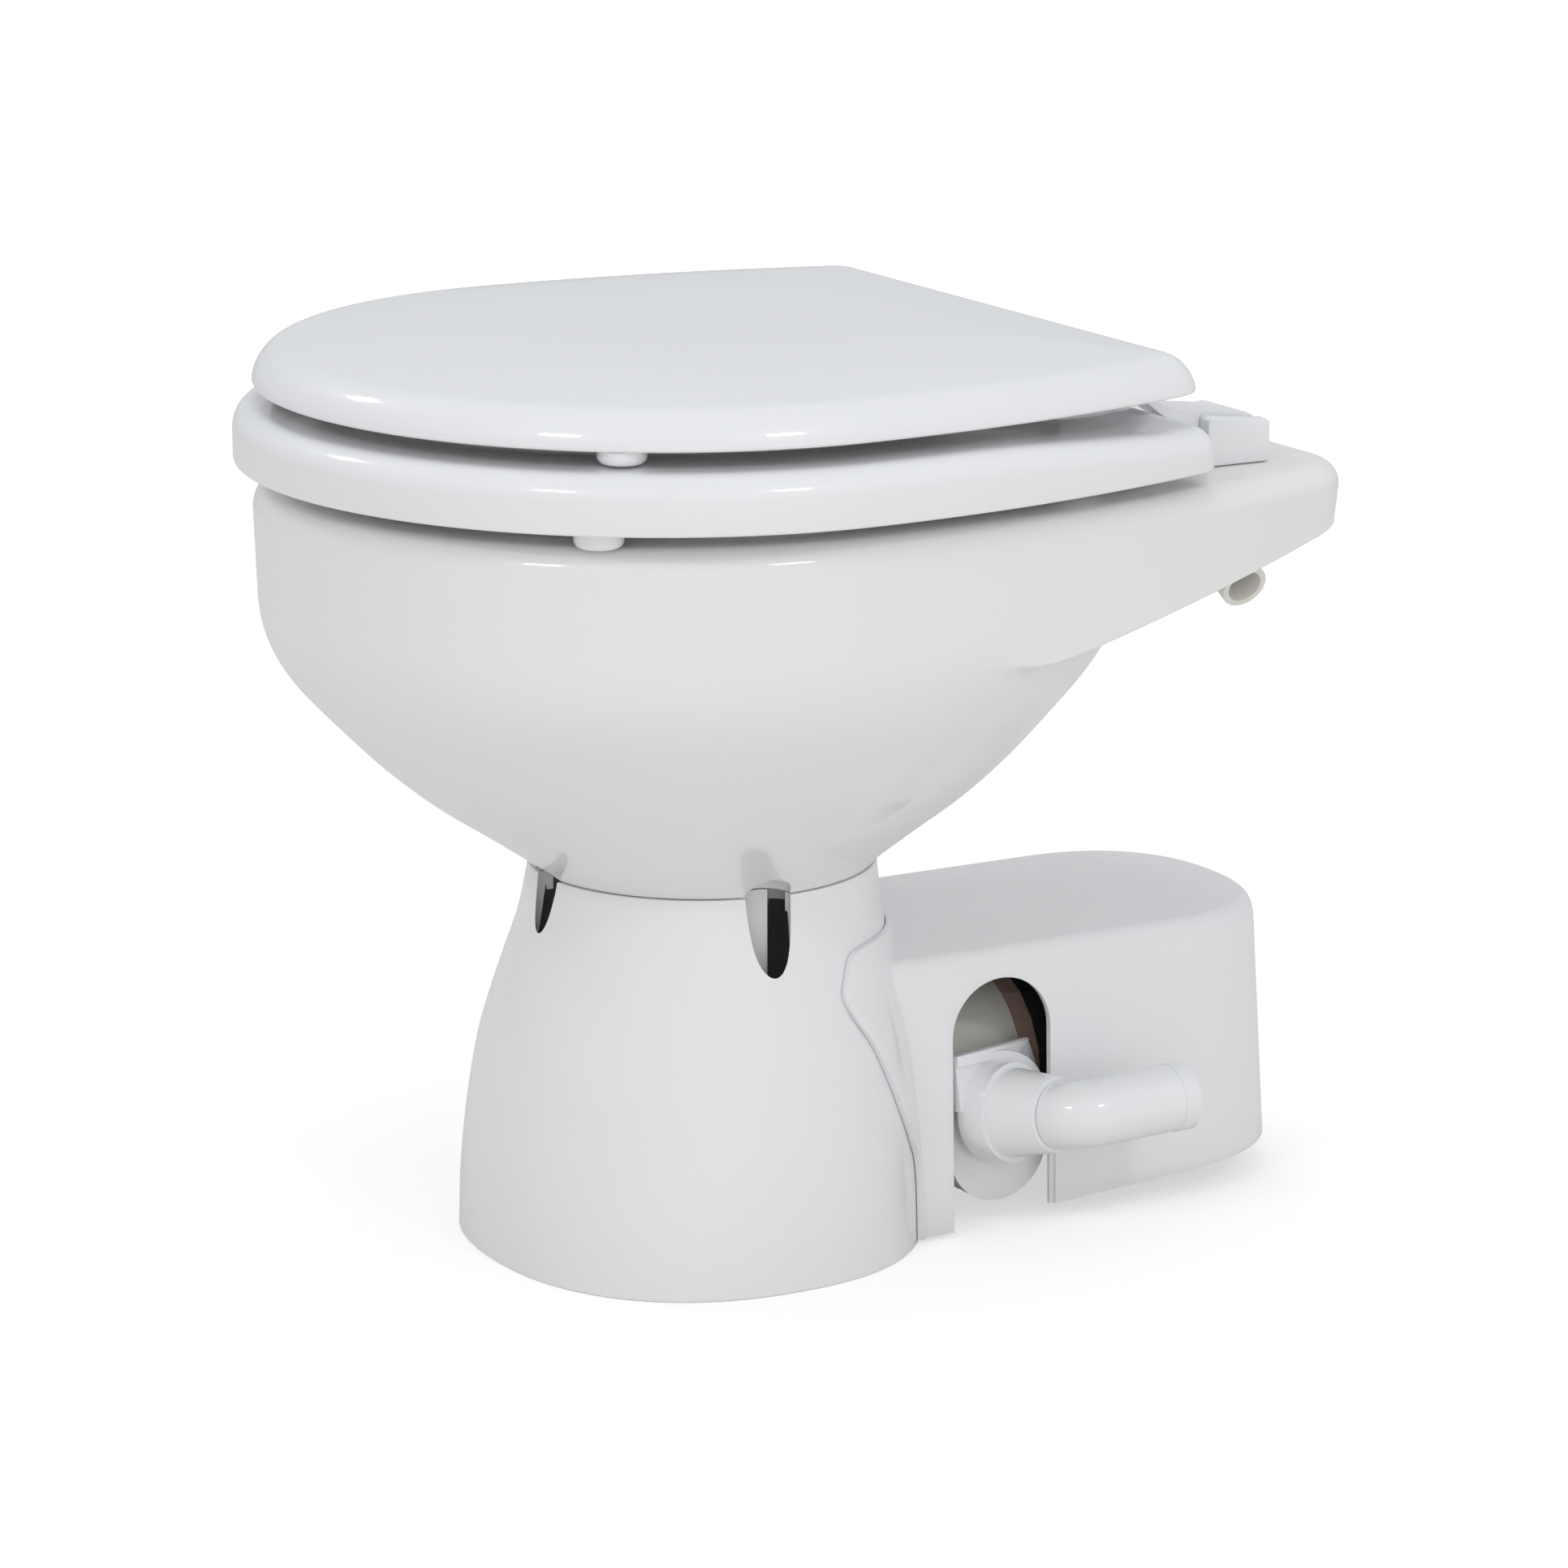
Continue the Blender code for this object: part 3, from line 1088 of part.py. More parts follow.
def make_pump():
    bore = PUMP_RADIUS - PUMP_WALL
    flange_front = PAD_REAR + TOUCH
    flange_rear = flange_front + PUMP_FLANGE
    back = PUMP_REAR - BACK_WALL
    seal_end = back + SEAL_THICKNESS + TOUCH
    nozzle = PUMP_FRONT - INLET_LENGTH
    pump = add_turned("pump_body", [
        (PUMP_RADIUS, PUMP_REAR), (PUMP_RADIUS, flange_rear), (PUMP_FLANGE_RADIUS, flange_rear),
        (PUMP_FLANGE_RADIUS, flange_front), (PUMP_RADIUS, flange_front), (PUMP_RADIUS, PUMP_FRONT),
        (INLET_RADIUS, PUMP_FRONT), (INLET_RADIUS, nozzle), (DRAIN_RADIUS, nozzle),
        (DRAIN_RADIUS, PUMP_FRONT + PUMP_WALL), (bore, PUMP_FRONT + PUMP_WALL), (bore, back),
        (SEAL_RADIUS + TOUCH, back), (SEAL_RADIUS + TOUCH, seal_end), (SHAFT_RADIUS + SLIDE, seal_end),
        (SHAFT_RADIUS + SLIDE, PUMP_REAR)], (0, 0, PUMP_Z), "Y", LOOKS["cream"], ORIGIN)
    join(pump, add_tool("port_block", box_mesh("port_block", (BLOCK_IN, BLOCK_FRONT, BLOCK_BOTTOM),
                                               (BLOCK_OUT, BLOCK_REAR, BLOCK_TOP))),
         add_tool("block_lip", box_mesh("block_lip", (BLOCK_OUT - EDGE, BLOCK_FRONT, BLOCK_TOP - BLOCK_LIP),
                                        (BLOCK_OUT + BLOCK_LIP, BLOCK_REAR - EDGE, BLOCK_TOP - EDGE))))
    cut(pump, add_tool("port_bore", rod_mesh("port_bore", PORT_BORE, (PUMP_RADIUS / 2, PORT_Y, PORT_Z),
                                             (BLOCK_OUT + OVERRUN, PORT_Y, PORT_Z), MIDDLE_STEPS)))
    for i, (x, z) in enumerate(pump_screw_places()):
        cut(pump, add_tool(f"flange_bore_{i + 1}", rod_mesh("flange_bore", SCREW_RADIUS + TOUCH,
                           (x, flange_front - OVERRUN, z), (x, flange_rear + OVERRUN, z))))
        head = flange_rear + TOUCH
        add_turned(f"pump_screw_{i + 1}", [(0, head + SCREW_HEAD), (SCREW_HEAD_RADIUS, head + SCREW_HEAD),
                                           (SCREW_HEAD_RADIUS, head), (SCREW_RADIUS, head),
                                           (SCREW_RADIUS, PAD_REAR - SCREW_GRIP), (0, PAD_REAR - SCREW_GRIP)],
                   (x, 0, z), "Y", LOOKS["steel"], ORIGIN, SMALL_STEPS)
    plate_end = CHOPPER_PLATE_Y + CHOPPER_PLATE_THICKNESS
    plate = add_turned("chopper_plate", [
        (bore - TOUCH, plate_end), (bore - TOUCH, CHOPPER_PLATE_Y), (SHAFT_RADIUS + SLIDE, CHOPPER_PLATE_Y),
        (SHAFT_RADIUS + SLIDE, plate_end)], (0, 0, PUMP_Z), "Y", LOOKS["steel"], ORIGIN)
    cut(plate, add_tool("chopper_slots", slots_mesh()))
    add_turned("shaft_seal", [(SEAL_RADIUS, back + SEAL_THICKNESS), (SEAL_RADIUS, back),
                              (SHAFT_RADIUS + TOUCH, back), (SHAFT_RADIUS + TOUCH, back + SEAL_THICKNESS)],
               (0, 0, PUMP_Z), "Y", LOOKS["rubber"], ORIGIN, MIDDLE_STEPS)


def slots_mesh():
    """A ring of round holes through the chopper plate, as one cutter."""
    bm = bmesh.new()
    middle = (SHAFT_RADIUS + PUMP_RADIUS) / 2
    depth = CHOPPER_PLATE_THICKNESS + 2 * OVERRUN
    for i in range(CHOPPER_SLOTS):
        a = 2 * math.pi * i / CHOPPER_SLOTS
        place = Matrix.Translation((middle * math.cos(a), CHOPPER_PLATE_Y + CHOPPER_PLATE_THICKNESS / 2,
                                    PUMP_Z + middle * math.sin(a)))
        bmesh.ops.create_cone(bm, cap_ends=True, segments=SMALL_STEPS, radius1=CHOPPER_HOLE,
                              radius2=CHOPPER_HOLE, depth=depth,
                              matrix=place @ Matrix.Rotation(QUARTER, 4, "X"))
    return to_mesh(bm, "chopper_slots")


def make_port():
    """The plate that closes the pump's outlet, with the leaning disc and collar that carry the elbow."""
    inner = BLOCK_OUT + TOUCH
    arc = [math.pi * i / ARCH_STEPS for i in range(ARCH_STEPS + 1)]
    outline = [(PORT_Y + PLATE_RADIUS * math.cos(a), PORT_Z + PLATE_RADIUS * math.sin(a)) for a in arc]
    outline += [(PORT_Y - PLATE_RADIUS * math.cos(a), PLATE_LOW_Z - PLATE_RADIUS * math.sin(a)) for a in arc]
    port = add_piece("discharge_port", plate_mesh("discharge_port", outline, inner, inner + PLATE_THICKNESS),
                     LOOKS["plastic"], ORIGIN)
    end = COLLAR_LENGTH
    body = add_tool("port_collar", bpy.data.meshes.new("port_collar"))
    turn_profile(body, [(0, end), (STUB_RADIUS, end), (COLLAR_RADIUS, 0), (DISC_RADIUS, 0),
                        (DISC_RADIUS, -DISC_THICKNESS), (0, -DISC_THICKNESS)],
                 (PORT_X, PORT_Y, PORT_Z), "Z", ROUND_STEPS)
    body.rotation_euler = Vector((0, 0, 1)).rotation_difference(port_direction()).to_euler()
    join(port, body)
    cut(port, add_tool("port_back", box_mesh("port_back", (0, PORT_Y - 2 * PLATE_RADIUS, -OVERRUN),
                                             (inner, PORT_Y + 2 * PLATE_RADIUS, BLOCK_TOP))))
    hole = add_tool("port_hole", bpy.data.meshes.new("port_hole"))
    turn_profile(hole, [(0, end + OVERRUN), (PORT_BORE, end + OVERRUN), (PORT_BORE, JOKER_LENGTH),
                        (JOKER_RADIUS + TOUCH, JOKER_LENGTH), (JOKER_RADIUS + TOUCH, -JOKER_FLANGE - TOUCH),
                        (PORT_BORE, -JOKER_FLANGE - TOUCH), (PORT_BORE, BLOCK_IN - PORT_X),
                        (0, BLOCK_IN - PORT_X)], (PORT_X, PORT_Y, PORT_Z), "Z", ROUND_STEPS)
    hole.rotation_euler = body.rotation_euler
    cut(port, hole)
    joker = add_piece("joker_valve", joker_mesh(), LOOKS["rubber"], ORIGIN)
    joker.location = (PORT_X, PORT_Y, PORT_Z)
    joker.rotation_euler = body.rotation_euler
    corner = port_place(ELBOW_REACH)
    start = port_place(COLLAR_LENGTH + TOUCH)
    elbow_end = Vector((corner.x, ELBOW_END, ELBOW_Z_END))
    run = (elbow_end - corner).normalized()
    ring_start = elbow_end - run * ELBOW_RING_LENGTH
    ring = add_tool("elbow_ring", rod_mesh("elbow_ring", ELBOW_RING_RADIUS, ring_start,
                                           elbow_end + run * TOUCH, MIDDLE_STEPS))
    route = bend(start, corner, elbow_end, ELBOW_BEND)
    add_hollow_tube("discharge_elbow", route, ELBOW_RADIUS, ELBOW_BORE, LOOKS["plastic"], ORIGIN, [ring])


def joker_mesh():
    """A rubber duckbill: a flange, a round sleeve and two lips that close to a slit."""
    points = MIDDLE_STEPS
    tip = JOKER_LENGTH - TOUCH

    def ring(half_width, half_slit, level):
        return [Vector((half_slit * math.cos(2 * math.pi * i / points),
                        half_width * math.sin(2 * math.pi * i / points), level)) for i in range(points)]

    sleeve = JOKER_SLEEVE_RADIUS
    slit = JOKER_WALL / 2
    rings = [ring(JOKER_RADIUS, JOKER_RADIUS, -JOKER_FLANGE), ring(JOKER_RADIUS, JOKER_RADIUS, 0.0),
             ring(sleeve, sleeve, 0.0), ring(sleeve, sleeve, tip / 4), ring(sleeve, slit + JOKER_WALL, tip),
             ring(sleeve - JOKER_WALL, slit, tip), ring(sleeve - JOKER_WALL, sleeve - JOKER_WALL, tip / 4),
             ring(sleeve - JOKER_WALL, sleeve - JOKER_WALL, -JOKER_FLANGE)]
    return loft("joker_valve", rings, wrap=True)


def motor_front():
    return PUMP_REAR + TOUCH + ADAPTER_LENGTH + TOUCH


def motor_rear():
    return motor_front() + MOTOR_LENGTH


def make_motor():
    centre = (0, 0, PUMP_Z)
    front, rear = motor_front(), motor_rear()
    hole = SHAFT_RADIUS + SLIDE
    pocket = BEARING_RADIUS + TOUCH
    depth = BEARING_WIDTH + TOUCH
    adapter_front, adapter_rear = PUMP_REAR + TOUCH, front - TOUCH
    add_turned("motor_adapter", [(ADAPTER_RADIUS, adapter_rear), (ADAPTER_RADIUS, adapter_front),
                                 (hole, adapter_front), (hole, adapter_rear - depth),
                                 (pocket, adapter_rear - depth), (pocket, adapter_rear)],
               centre, "Y", LOOKS["copper"], ORIGIN)
    add_turned("motor_can", [(MOTOR_RADIUS, rear), (MOTOR_RADIUS, front), (MOTOR_RADIUS - MOTOR_WALL, front),
                             (MOTOR_RADIUS - MOTOR_WALL, rear)], centre, "Y", LOOKS["black"], ORIGIN)
    cap_front = rear + TOUCH
    cap_rear = cap_front + END_CAP_LENGTH
    cap = [(0, cap_rear), (MOTOR_RADIUS - EDGE, cap_rear), (MOTOR_RADIUS, cap_rear - EDGE),
           (MOTOR_RADIUS, cap_front), (pocket, cap_front), (pocket, cap_front + depth),
           (0, cap_front + depth)]
    add_turned("motor_end_cap", cap, centre, "Y", LOOKS["black"], ORIGIN)
    for name, low in (("bearing_front", adapter_rear - BEARING_WIDTH), ("bearing_rear", cap_front)):
        high = low + BEARING_WIDTH
        bore = SHAFT_RADIUS + TOUCH
        add_turned(name, [(BEARING_RADIUS, high), (BEARING_RADIUS, low), (bore, low), (bore, high)],
                   centre, "Y", LOOKS["steel"], ORIGIN, MIDDLE_STEPS)
    middle = armature_middle()
    outer = MOTOR_RADIUS - MOTOR_WALL - SLIDE
    for name, start in (("magnet_right", -MAGNET_ANGLE / 2), ("magnet_left", math.pi - MAGNET_ANGLE / 2)):
        turns = [start + MAGNET_ANGLE * i / CORNER_STEPS / 2 for i in range(2 * CORNER_STEPS + 1)]
        inner = outer - MAGNET_THICKNESS
        arc = [(outer * math.cos(a), PUMP_Z + outer * math.sin(a)) for a in turns]
        arc += [(inner * math.cos(a), PUMP_Z + inner * math.sin(a)) for a in reversed(turns)]
        add_piece(name, plate_mesh(name, arc, middle - MAGNET_LENGTH / 2, middle + MAGNET_LENGTH / 2, "Y"),
                  LOOKS["ferrite"], ORIGIN)


def armature_middle():
    return blend(motor_front(), motor_rear(), ARMATURE_PLACE)


def make_rotor(parent):
    centre = (0, 0, PUMP_Z)
    blade_y = CHOPPER_PLATE_Y - SLIDE * 2 - BLADE_THICKNESS
    start = blade_y - HUB_RADIUS
    end = motor_rear() + BEARING_WIDTH
    add_turned("motor_shaft", [(0, end), (SHAFT_RADIUS, end), (SHAFT_RADIUS, start), (0, start)],
               centre, "Y", LOOKS["steel"], parent, MIDDLE_STEPS)
    bore = SHAFT_RADIUS + TOUCH
    blade_end = blade_y + BLADE_THICKNESS
    hub = [(HUB_RADIUS, blade_end), (HUB_RADIUS, start + EDGE), (bore, start + EDGE), (bore, blade_end)]
    blade = add_turned("macerator_blade", hub, centre, "Y", LOOKS["steel"], parent, MIDDLE_STEPS)
    tips = box_mesh("blade_tips", (-BLADE_LENGTH, blade_y, PUMP_Z - BLADE_WIDTH / 2),
                    (BLADE_LENGTH, blade_end - TOUCH, PUMP_Z + BLADE_WIDTH / 2))
    join(blade, add_tool("blade_tips", tips))
    cut(blade, add_tool("blade_bore", rod_mesh("blade_bore", bore, (0, start, PUMP_Z),
                                               (0, CHOPPER_PLATE_Y, PUMP_Z), MIDDLE_STEPS)))
    vane_low = CHOPPER_PLATE_Y + CHOPPER_PLATE_THICKNESS + SLIDE * 3
    vane_high = vane_low + VANE_WIDTH
    hub_end = PUMP_REAR - BACK_WALL - SLIDE * 2
    impeller = add_turned("impeller", [(HUB_RADIUS, hub_end), (HUB_RADIUS, vane_low), (bore, vane_low),
                                       (bore, hub_end)], centre, "Y", LOOKS["black"], parent, MIDDLE_STEPS)
    for i in range(IMPELLER_VANES):
        vane = vane_mesh(2 * math.pi * i / IMPELLER_VANES, vane_low, vane_high)
        join(impeller, add_tool(f"vane_{i + 1}", vane))
    middle = armature_middle()
    rear = middle + ARMATURE_LENGTH / 2
    stack = plate_mesh("armature", armature_outline(), middle - ARMATURE_LENGTH / 2, rear, "Y")
    core = add_piece("armature", stack, LOOKS["ferrite"], parent)
    cut(core, add_tool("armature_bore", rod_mesh("armature_bore", bore, (0, middle - ARMATURE_LENGTH, PUMP_Z),
                                                 (0, middle + ARMATURE_LENGTH, PUMP_Z), MIDDLE_STEPS)))
    gap = HUB_RADIUS / 2
    near, far = rear + gap, rear + gap + COMMUTATOR_LENGTH
    add_turned("commutator", [(COMMUTATOR_RADIUS, far), (COMMUTATOR_RADIUS, near), (bore, near), (bore, far)],
               centre, "Y", LOOKS["copper"], parent, MIDDLE_STEPS)


def vane_mesh(angle, low, high):
    """One backward-curved vane, from inside the hub to the rim."""
    front, back = [], []
    for i in range(SIDE_STEPS + 1):
        share = i / SIDE_STEPS
        reach = blend(HUB_RADIUS - EDGE, IMPELLER_RADIUS, share)
        turn = angle - VANE_SWEEP * share
        shift = VANE_THICKNESS / 2 / reach
        front.append((reach * math.cos(turn + shift), PUMP_Z + reach * math.sin(turn + shift)))
        back.append((reach * math.cos(turn - shift), PUMP_Z + reach * math.sin(turn - shift)))
    return plate_mesh("vane", front + list(reversed(back)), low, high, "Y")


def armature_outline():
    """T-shaped poles round a core, with a slot between each two."""
    pitch = 2 * math.pi / ARMATURE_POLES
    points = []
    for i in range(ARMATURE_POLES):
        for outward, share in ARMATURE_SHARES:
            reach, a = ARMATURE_RADIUS * outward, pitch * (i + share)
            points.append((reach * math.cos(a), PUMP_Z + reach * math.sin(a)))
    return points


def make_inlet():
    lip_top = deck_seat(INLET_X, INLET_Y, GROMMET_RADIUS)
    top = lip_top + SOCKET_DEPTH - TOUCH
    body = GROMMET_RADIUS - GROMMET_LIP
    bore = INLET_PIPE_RADIUS + TOUCH
    lip_bottom = lip_top - GROMMET_LIP
    grommet = [(body, top), (body, lip_top), (GROMMET_RADIUS, lip_top), (GROMMET_RADIUS, lip_bottom),
               (bore, lip_bottom), (bore, top)]
    add_turned("inlet_grommet", grommet, (INLET_X, INLET_Y, 0), "Z", LOOKS["cream"], ORIGIN, MIDDLE_STEPS)
    corner = Vector((INLET_X, INLET_Y, lip_top - INLET_PIPE_DROP))
    mouth = corner + Vector((math.cos(INLET_PIPE_DIP), 0, -math.sin(INLET_PIPE_DIP))) * INLET_PIPE_END
    route = bend((INLET_X, INLET_Y, top - EDGE), corner, mouth, INLET_PIPE_TURN)
    add_hollow_tube("inlet_elbow", route, INLET_PIPE_RADIUS, INLET_PIPE_BORE, LOOKS["cream"], ORIGIN)


SIDES = (("right", 1), ("left", -1))
clear_scene()
PARTS = make_collection("electric_marine_toilet")
TOOLS = make_collection("cutters")
LOOKS = make_materials()
MODEL_PLACE = {"toilet_origin": (0, 0, 0), "seat_axis": (0, HINGE_Y, HINGE_Z),
               "lid_axis": (0, HINGE_Y, HINGE_Z), "rotor_axis": (0, PUMP_REAR, PUMP_Z)}
ORIGIN = make_empty("toilet_origin", (0, -(SEAT_FRONT + COVER_REAR) / 2, 0))
SEAT_AXIS = make_empty("seat_axis", MODEL_PLACE["seat_axis"], ORIGIN)
LID_AXIS = make_empty("lid_axis", MODEL_PLACE["lid_axis"], SEAT_AXIS)
ROTOR_AXIS = make_empty("rotor_axis", MODEL_PLACE["rotor_axis"], ORIGIN)
WELLS = well_tools()
make_bowl(WELLS)
make_pedestal(WELLS)
make_bowl_fixings()
make_drain()
make_pump()
make_port()
make_motor()
make_rotor(ROTOR_AXIS)
make_cover()
make_inlet()
make_hinges()
make_seat(SEAT_AXIS)
make_lid(LID_AXIS)
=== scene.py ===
"""Looks of the electric marine toilet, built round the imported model.

Units are metres and Z is up. Pieces are modelled from the bowl's middle, as the object is measured,
and SHIFT then moves them to the model's own place.
"""
import json
import math

import bmesh
import bpy
from mathutils import Matrix, Vector


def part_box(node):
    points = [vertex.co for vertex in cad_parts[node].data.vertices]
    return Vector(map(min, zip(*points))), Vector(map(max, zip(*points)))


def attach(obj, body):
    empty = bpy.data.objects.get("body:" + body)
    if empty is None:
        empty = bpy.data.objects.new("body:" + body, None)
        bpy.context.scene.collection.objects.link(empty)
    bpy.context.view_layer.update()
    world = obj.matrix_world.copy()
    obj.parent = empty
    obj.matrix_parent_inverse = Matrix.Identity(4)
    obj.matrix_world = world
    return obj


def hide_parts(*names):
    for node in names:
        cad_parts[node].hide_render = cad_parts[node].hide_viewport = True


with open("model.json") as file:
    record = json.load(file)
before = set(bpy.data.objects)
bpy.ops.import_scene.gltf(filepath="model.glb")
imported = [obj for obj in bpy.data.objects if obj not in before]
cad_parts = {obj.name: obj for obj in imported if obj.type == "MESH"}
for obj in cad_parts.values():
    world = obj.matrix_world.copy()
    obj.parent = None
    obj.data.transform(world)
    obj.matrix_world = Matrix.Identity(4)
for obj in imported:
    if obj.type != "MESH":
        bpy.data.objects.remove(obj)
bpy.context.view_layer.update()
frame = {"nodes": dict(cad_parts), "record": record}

# Sizes repeated from the part
TOUCH = 0.0003            # gap left where two pieces rest on each other
SLIDE = 0.0005            # gap round a piece that slides or turns in another
OVERRUN = 0.004           # how far a cutter runs past what it cuts
EDGE = 0.0012             # small edge break on moulded pieces
QUARTER = math.pi / 2

# Rim and deck of the bowl
RIM_TOP = 0.3127
RIM_HALF_WIDTH = 0.160
RIM_FRONT = -0.174
RIM_WIDEST = -0.004
DECK_REAR = 0.2396
DECK_HALF_WIDTH = 0.118
DECK_CORNER = 0.028
RIM_ROUNDING = 0.010
RIM_TAPER = 0.0015
RIM_BAND = 0.0572
RIM_UNDERSIDE = RIM_TOP - RIM_BAND
DECK_THICKNESS = 0.0247   # at its back edge
DECK_UNDERSIDE_SLOPE = 0.20
RIM_STEP = 0.0027

# Lip that hides the flush channel, and the mouth inside it
MOUTH_HALF_WIDTH = 0.118
MOUTH_HALF_LENGTH = 0.137
LIP_HEIGHT = 0.0245
LIP_EDGE = 0.004

# Body of the bowl, down to its foot
BULB_HALF_WIDTH = 0.158
BULB_HALF_LENGTH = 0.173
BULB_TOP = RIM_UNDERSIDE - RIM_STEP
FOOT_RADIUS = 0.069
FOOT_BOTTOM = 0.155
FOOT_CENTRE = 0.0045      # the foot stands a little behind the bowl's middle
BOWL_WALL = 0.009
BOWL_FLOOR = FOOT_BOTTOM + BOWL_WALL
DRAIN_RADIUS = 0.020
BULB_SHARES = ((1.0, 1.0), (0.828, 0.889), (0.645, 0.735), (0.472, 0.576), (0.316, 0.404), (0.182, 0.224),
               (0.055, 0.056), (0.0, 0.0))
CAVITY_SHARES = ((0.0, 0.0), (0.06, 0.17), (0.28, 0.50), (0.60, 0.80), (1.0, 1.0))

# Bolts that hold the bowl on the pedestal, and the wells cut for them
SIDE_BOLT_Y = -0.0035     # the side bolts stand a little forward
WELL_RADIUS = 0.0098
WELL_SIDE_REACH = 0.0664
WELL_END_REACH = 0.0642   # from the foot's middle
WELL_DEPTH = 0.043        # down the pedestal
BOLT_SIDE_REACH = 0.048
BOLT_END_REACH = 0.0475
BOLT_RADIUS = 0.003
BOLT_WASHER_RADIUS = 0.006
INSERT_RADIUS = 0.005
INSERT_LENGTH = 0.008
SHIELD_THICKNESS = 0.003

# Pedestal
GASKET_THICKNESS = 0.0016
PEDESTAL_TOP = FOOT_BOTTOM - GASKET_THICKNESS - 2 * TOUCH
PEDESTAL_HALF_WIDTH = 0.0949
PEDESTAL_HALF_LENGTH = 0.089
PEDESTAL_TOP_RADIUS = 0.070
PEDESTAL_CENTRE = -0.0024
PEDESTAL_WALL = 0.0045
PEDESTAL_TOP_PLATE = 0.006
PEDESTAL_POWER = 2.26
PEDESTAL_SHARES = ((0.0, 1.0), (0.162, 0.985), (0.342, 0.899), (0.516, 0.752), (0.637, 0.575),
                   (0.751, 0.369), (0.872, 0.145), (1.0, 0.0))
PAD_HALF_WIDTH = 0.050
PAD_REAR = 0.0895
PAD_FRONT = 0.0768
PAD_TOP = 0.102
PAD_BOTTOM = 0.0045

# Seat
SEAT_HALF_WIDTH = 0.171
SEAT_FRONT = -0.1796
SEAT_WIDEST = -0.015
SEAT_SETBACK = 0.0826     # from the deck's back edge
SEAT_REAR = DECK_REAR - SEAT_SETBACK
SEAT_TAPER = 0.0285
SEAT_REAR_HALF_WIDTH = SEAT_HALF_WIDTH - SEAT_TAPER
SEAT_CORNER = 0.020
SEAT_GAP = 0.0078         # over the rim
SEAT_THICKNESS = 0.0227
SEAT_DROP = 0.0054        # how much lower its top is at the back
SEAT_BOTTOM = RIM_TOP + SEAT_GAP
SEAT_TOP = SEAT_BOTTOM + SEAT_THICKNESS
SEAT_TOP_REAR = SEAT_TOP - SEAT_DROP
SEAT_FALL = 0.030         # where the top starts to fall towards the hinge
SEAT_CROWN = 0.001
HOLE_HALF_WIDTH = 0.104
HOLE_FRONT = -0.122
HOLE_WIDEST = -0.012
HOLE_REAR = 0.112
HOLE_REAR_HALF_WIDTH = 0.074
HOLE_CORNER = 0.050
HOLE_ROUNDING = 0.009

# Lid
LID_MARGIN = 0.0079       # how far the lid stands in from the seat's edge
LID_SHORTFALL = 0.004
LID_REAR = SEAT_REAR - LID_SHORTFALL
LID_TAPER = 0.0035
LID_REAR_HALF_WIDTH = SEAT_REAR_HALF_WIDTH - LID_TAPER
LID_CORNER = 0.030
LID_GAP = 0.0072          # over the seat
LID_BOTTOM = SEAT_TOP + LID_GAP
LID_SIDE_HEIGHT = 0.0148
LID_SIDE_INSET = 0.0108
LID_CROWN = 0.0062        # rise of the crown above the side's crease
LID_LIP = 0.006
LID_RECESS = 0.0085

# Hinge
HINGE_SETBACK = 0.0416
HINGE_Y = DECK_REAR - HINGE_SETBACK
HINGE_RISE = 0.0123
HINGE_Z = RIM_TOP + HINGE_RISE
HINGE_X = 0.078
POST_HALF_WIDTH = 0.022
POST_FORWARD = 0.0205     # from the pin
POST_BACKWARD = 0.0085
POST_FRONT = HINGE_Y - POST_FORWARD
POST_REAR = HINGE_Y + POST_BACKWARD
POST_HEIGHT = 0.0203
POST_FALL = 0.003         # how much lower the post is at its back
POST_BASE = 0.0034
EAR_THICKNESS = 0.007
PIN_RADIUS = 0.0025
ARM_WIDTH = 0.0142
LID_ARM_INNER = 0.0783
LID_PAD_NEAR = 0.053
LID_PAD_FAR = 0.083
STUD_FORWARD = 0.008
STUD_RADIUS = 0.004
STUD_HEAD_RADIUS = 0.0068
STUD_HEAD = 0.0014
WING_NUT_RADIUS = 0.0105

# Buffers under the seat and under the lid
BUFFER_RADIUS = 0.0095
PEG_RADIUS = 0.0025

# Pump and motor, all on one axis along Y
PUMP_Z = 0.052
PUMP_RADIUS = 0.0395
PUMP_FRONT = 0.0745
PUMP_FLANGE_RADIUS = 0.0478
PUMP_FLANGE = 0.005
PUMP_REAR = 0.1322
INLET_LENGTH = 0.008
INLET_RADIUS = 0.024

# Discharge: a plate on the pump, then a port that leans back and up, and an elbow that turns to +Y
PORT_X = 0.069
PORT_Y = 0.110
PORT_Z = 0.0497
PORT_YAW = math.radians(18.5)
PORT_RISE = math.radians(9)
BLOCK_IN = 0.0365
BLOCK_OUT = 0.0500
BLOCK_FRONT = 0.0956
BLOCK_REAR = 0.1295
BLOCK_TOP = 0.0765
BLOCK_BOTTOM = 0.014
PLATE_THICKNESS = 0.0065
PLATE_RADIUS = 0.0225
PLATE_LOW_Z = 0.0318
DISC_RADIUS = 0.0203
DISC_THICKNESS = 0.0128
COLLAR_RADIUS = 0.0183
COLLAR_LENGTH = 0.0225
STUB_RADIUS = 0.0153
ELBOW_RADIUS = 0.0135
ELBOW_BORE = 0.0105
ELBOW_RING_RADIUS = 0.0148
ELBOW_REACH = 0.0345      # from the port's face to the elbow's corner
ELBOW_BEND = 0.0142
ELBOW_END = 0.170
ELBOW_RING_LENGTH = 0.007
ELBOW_Z_END = 0.0567

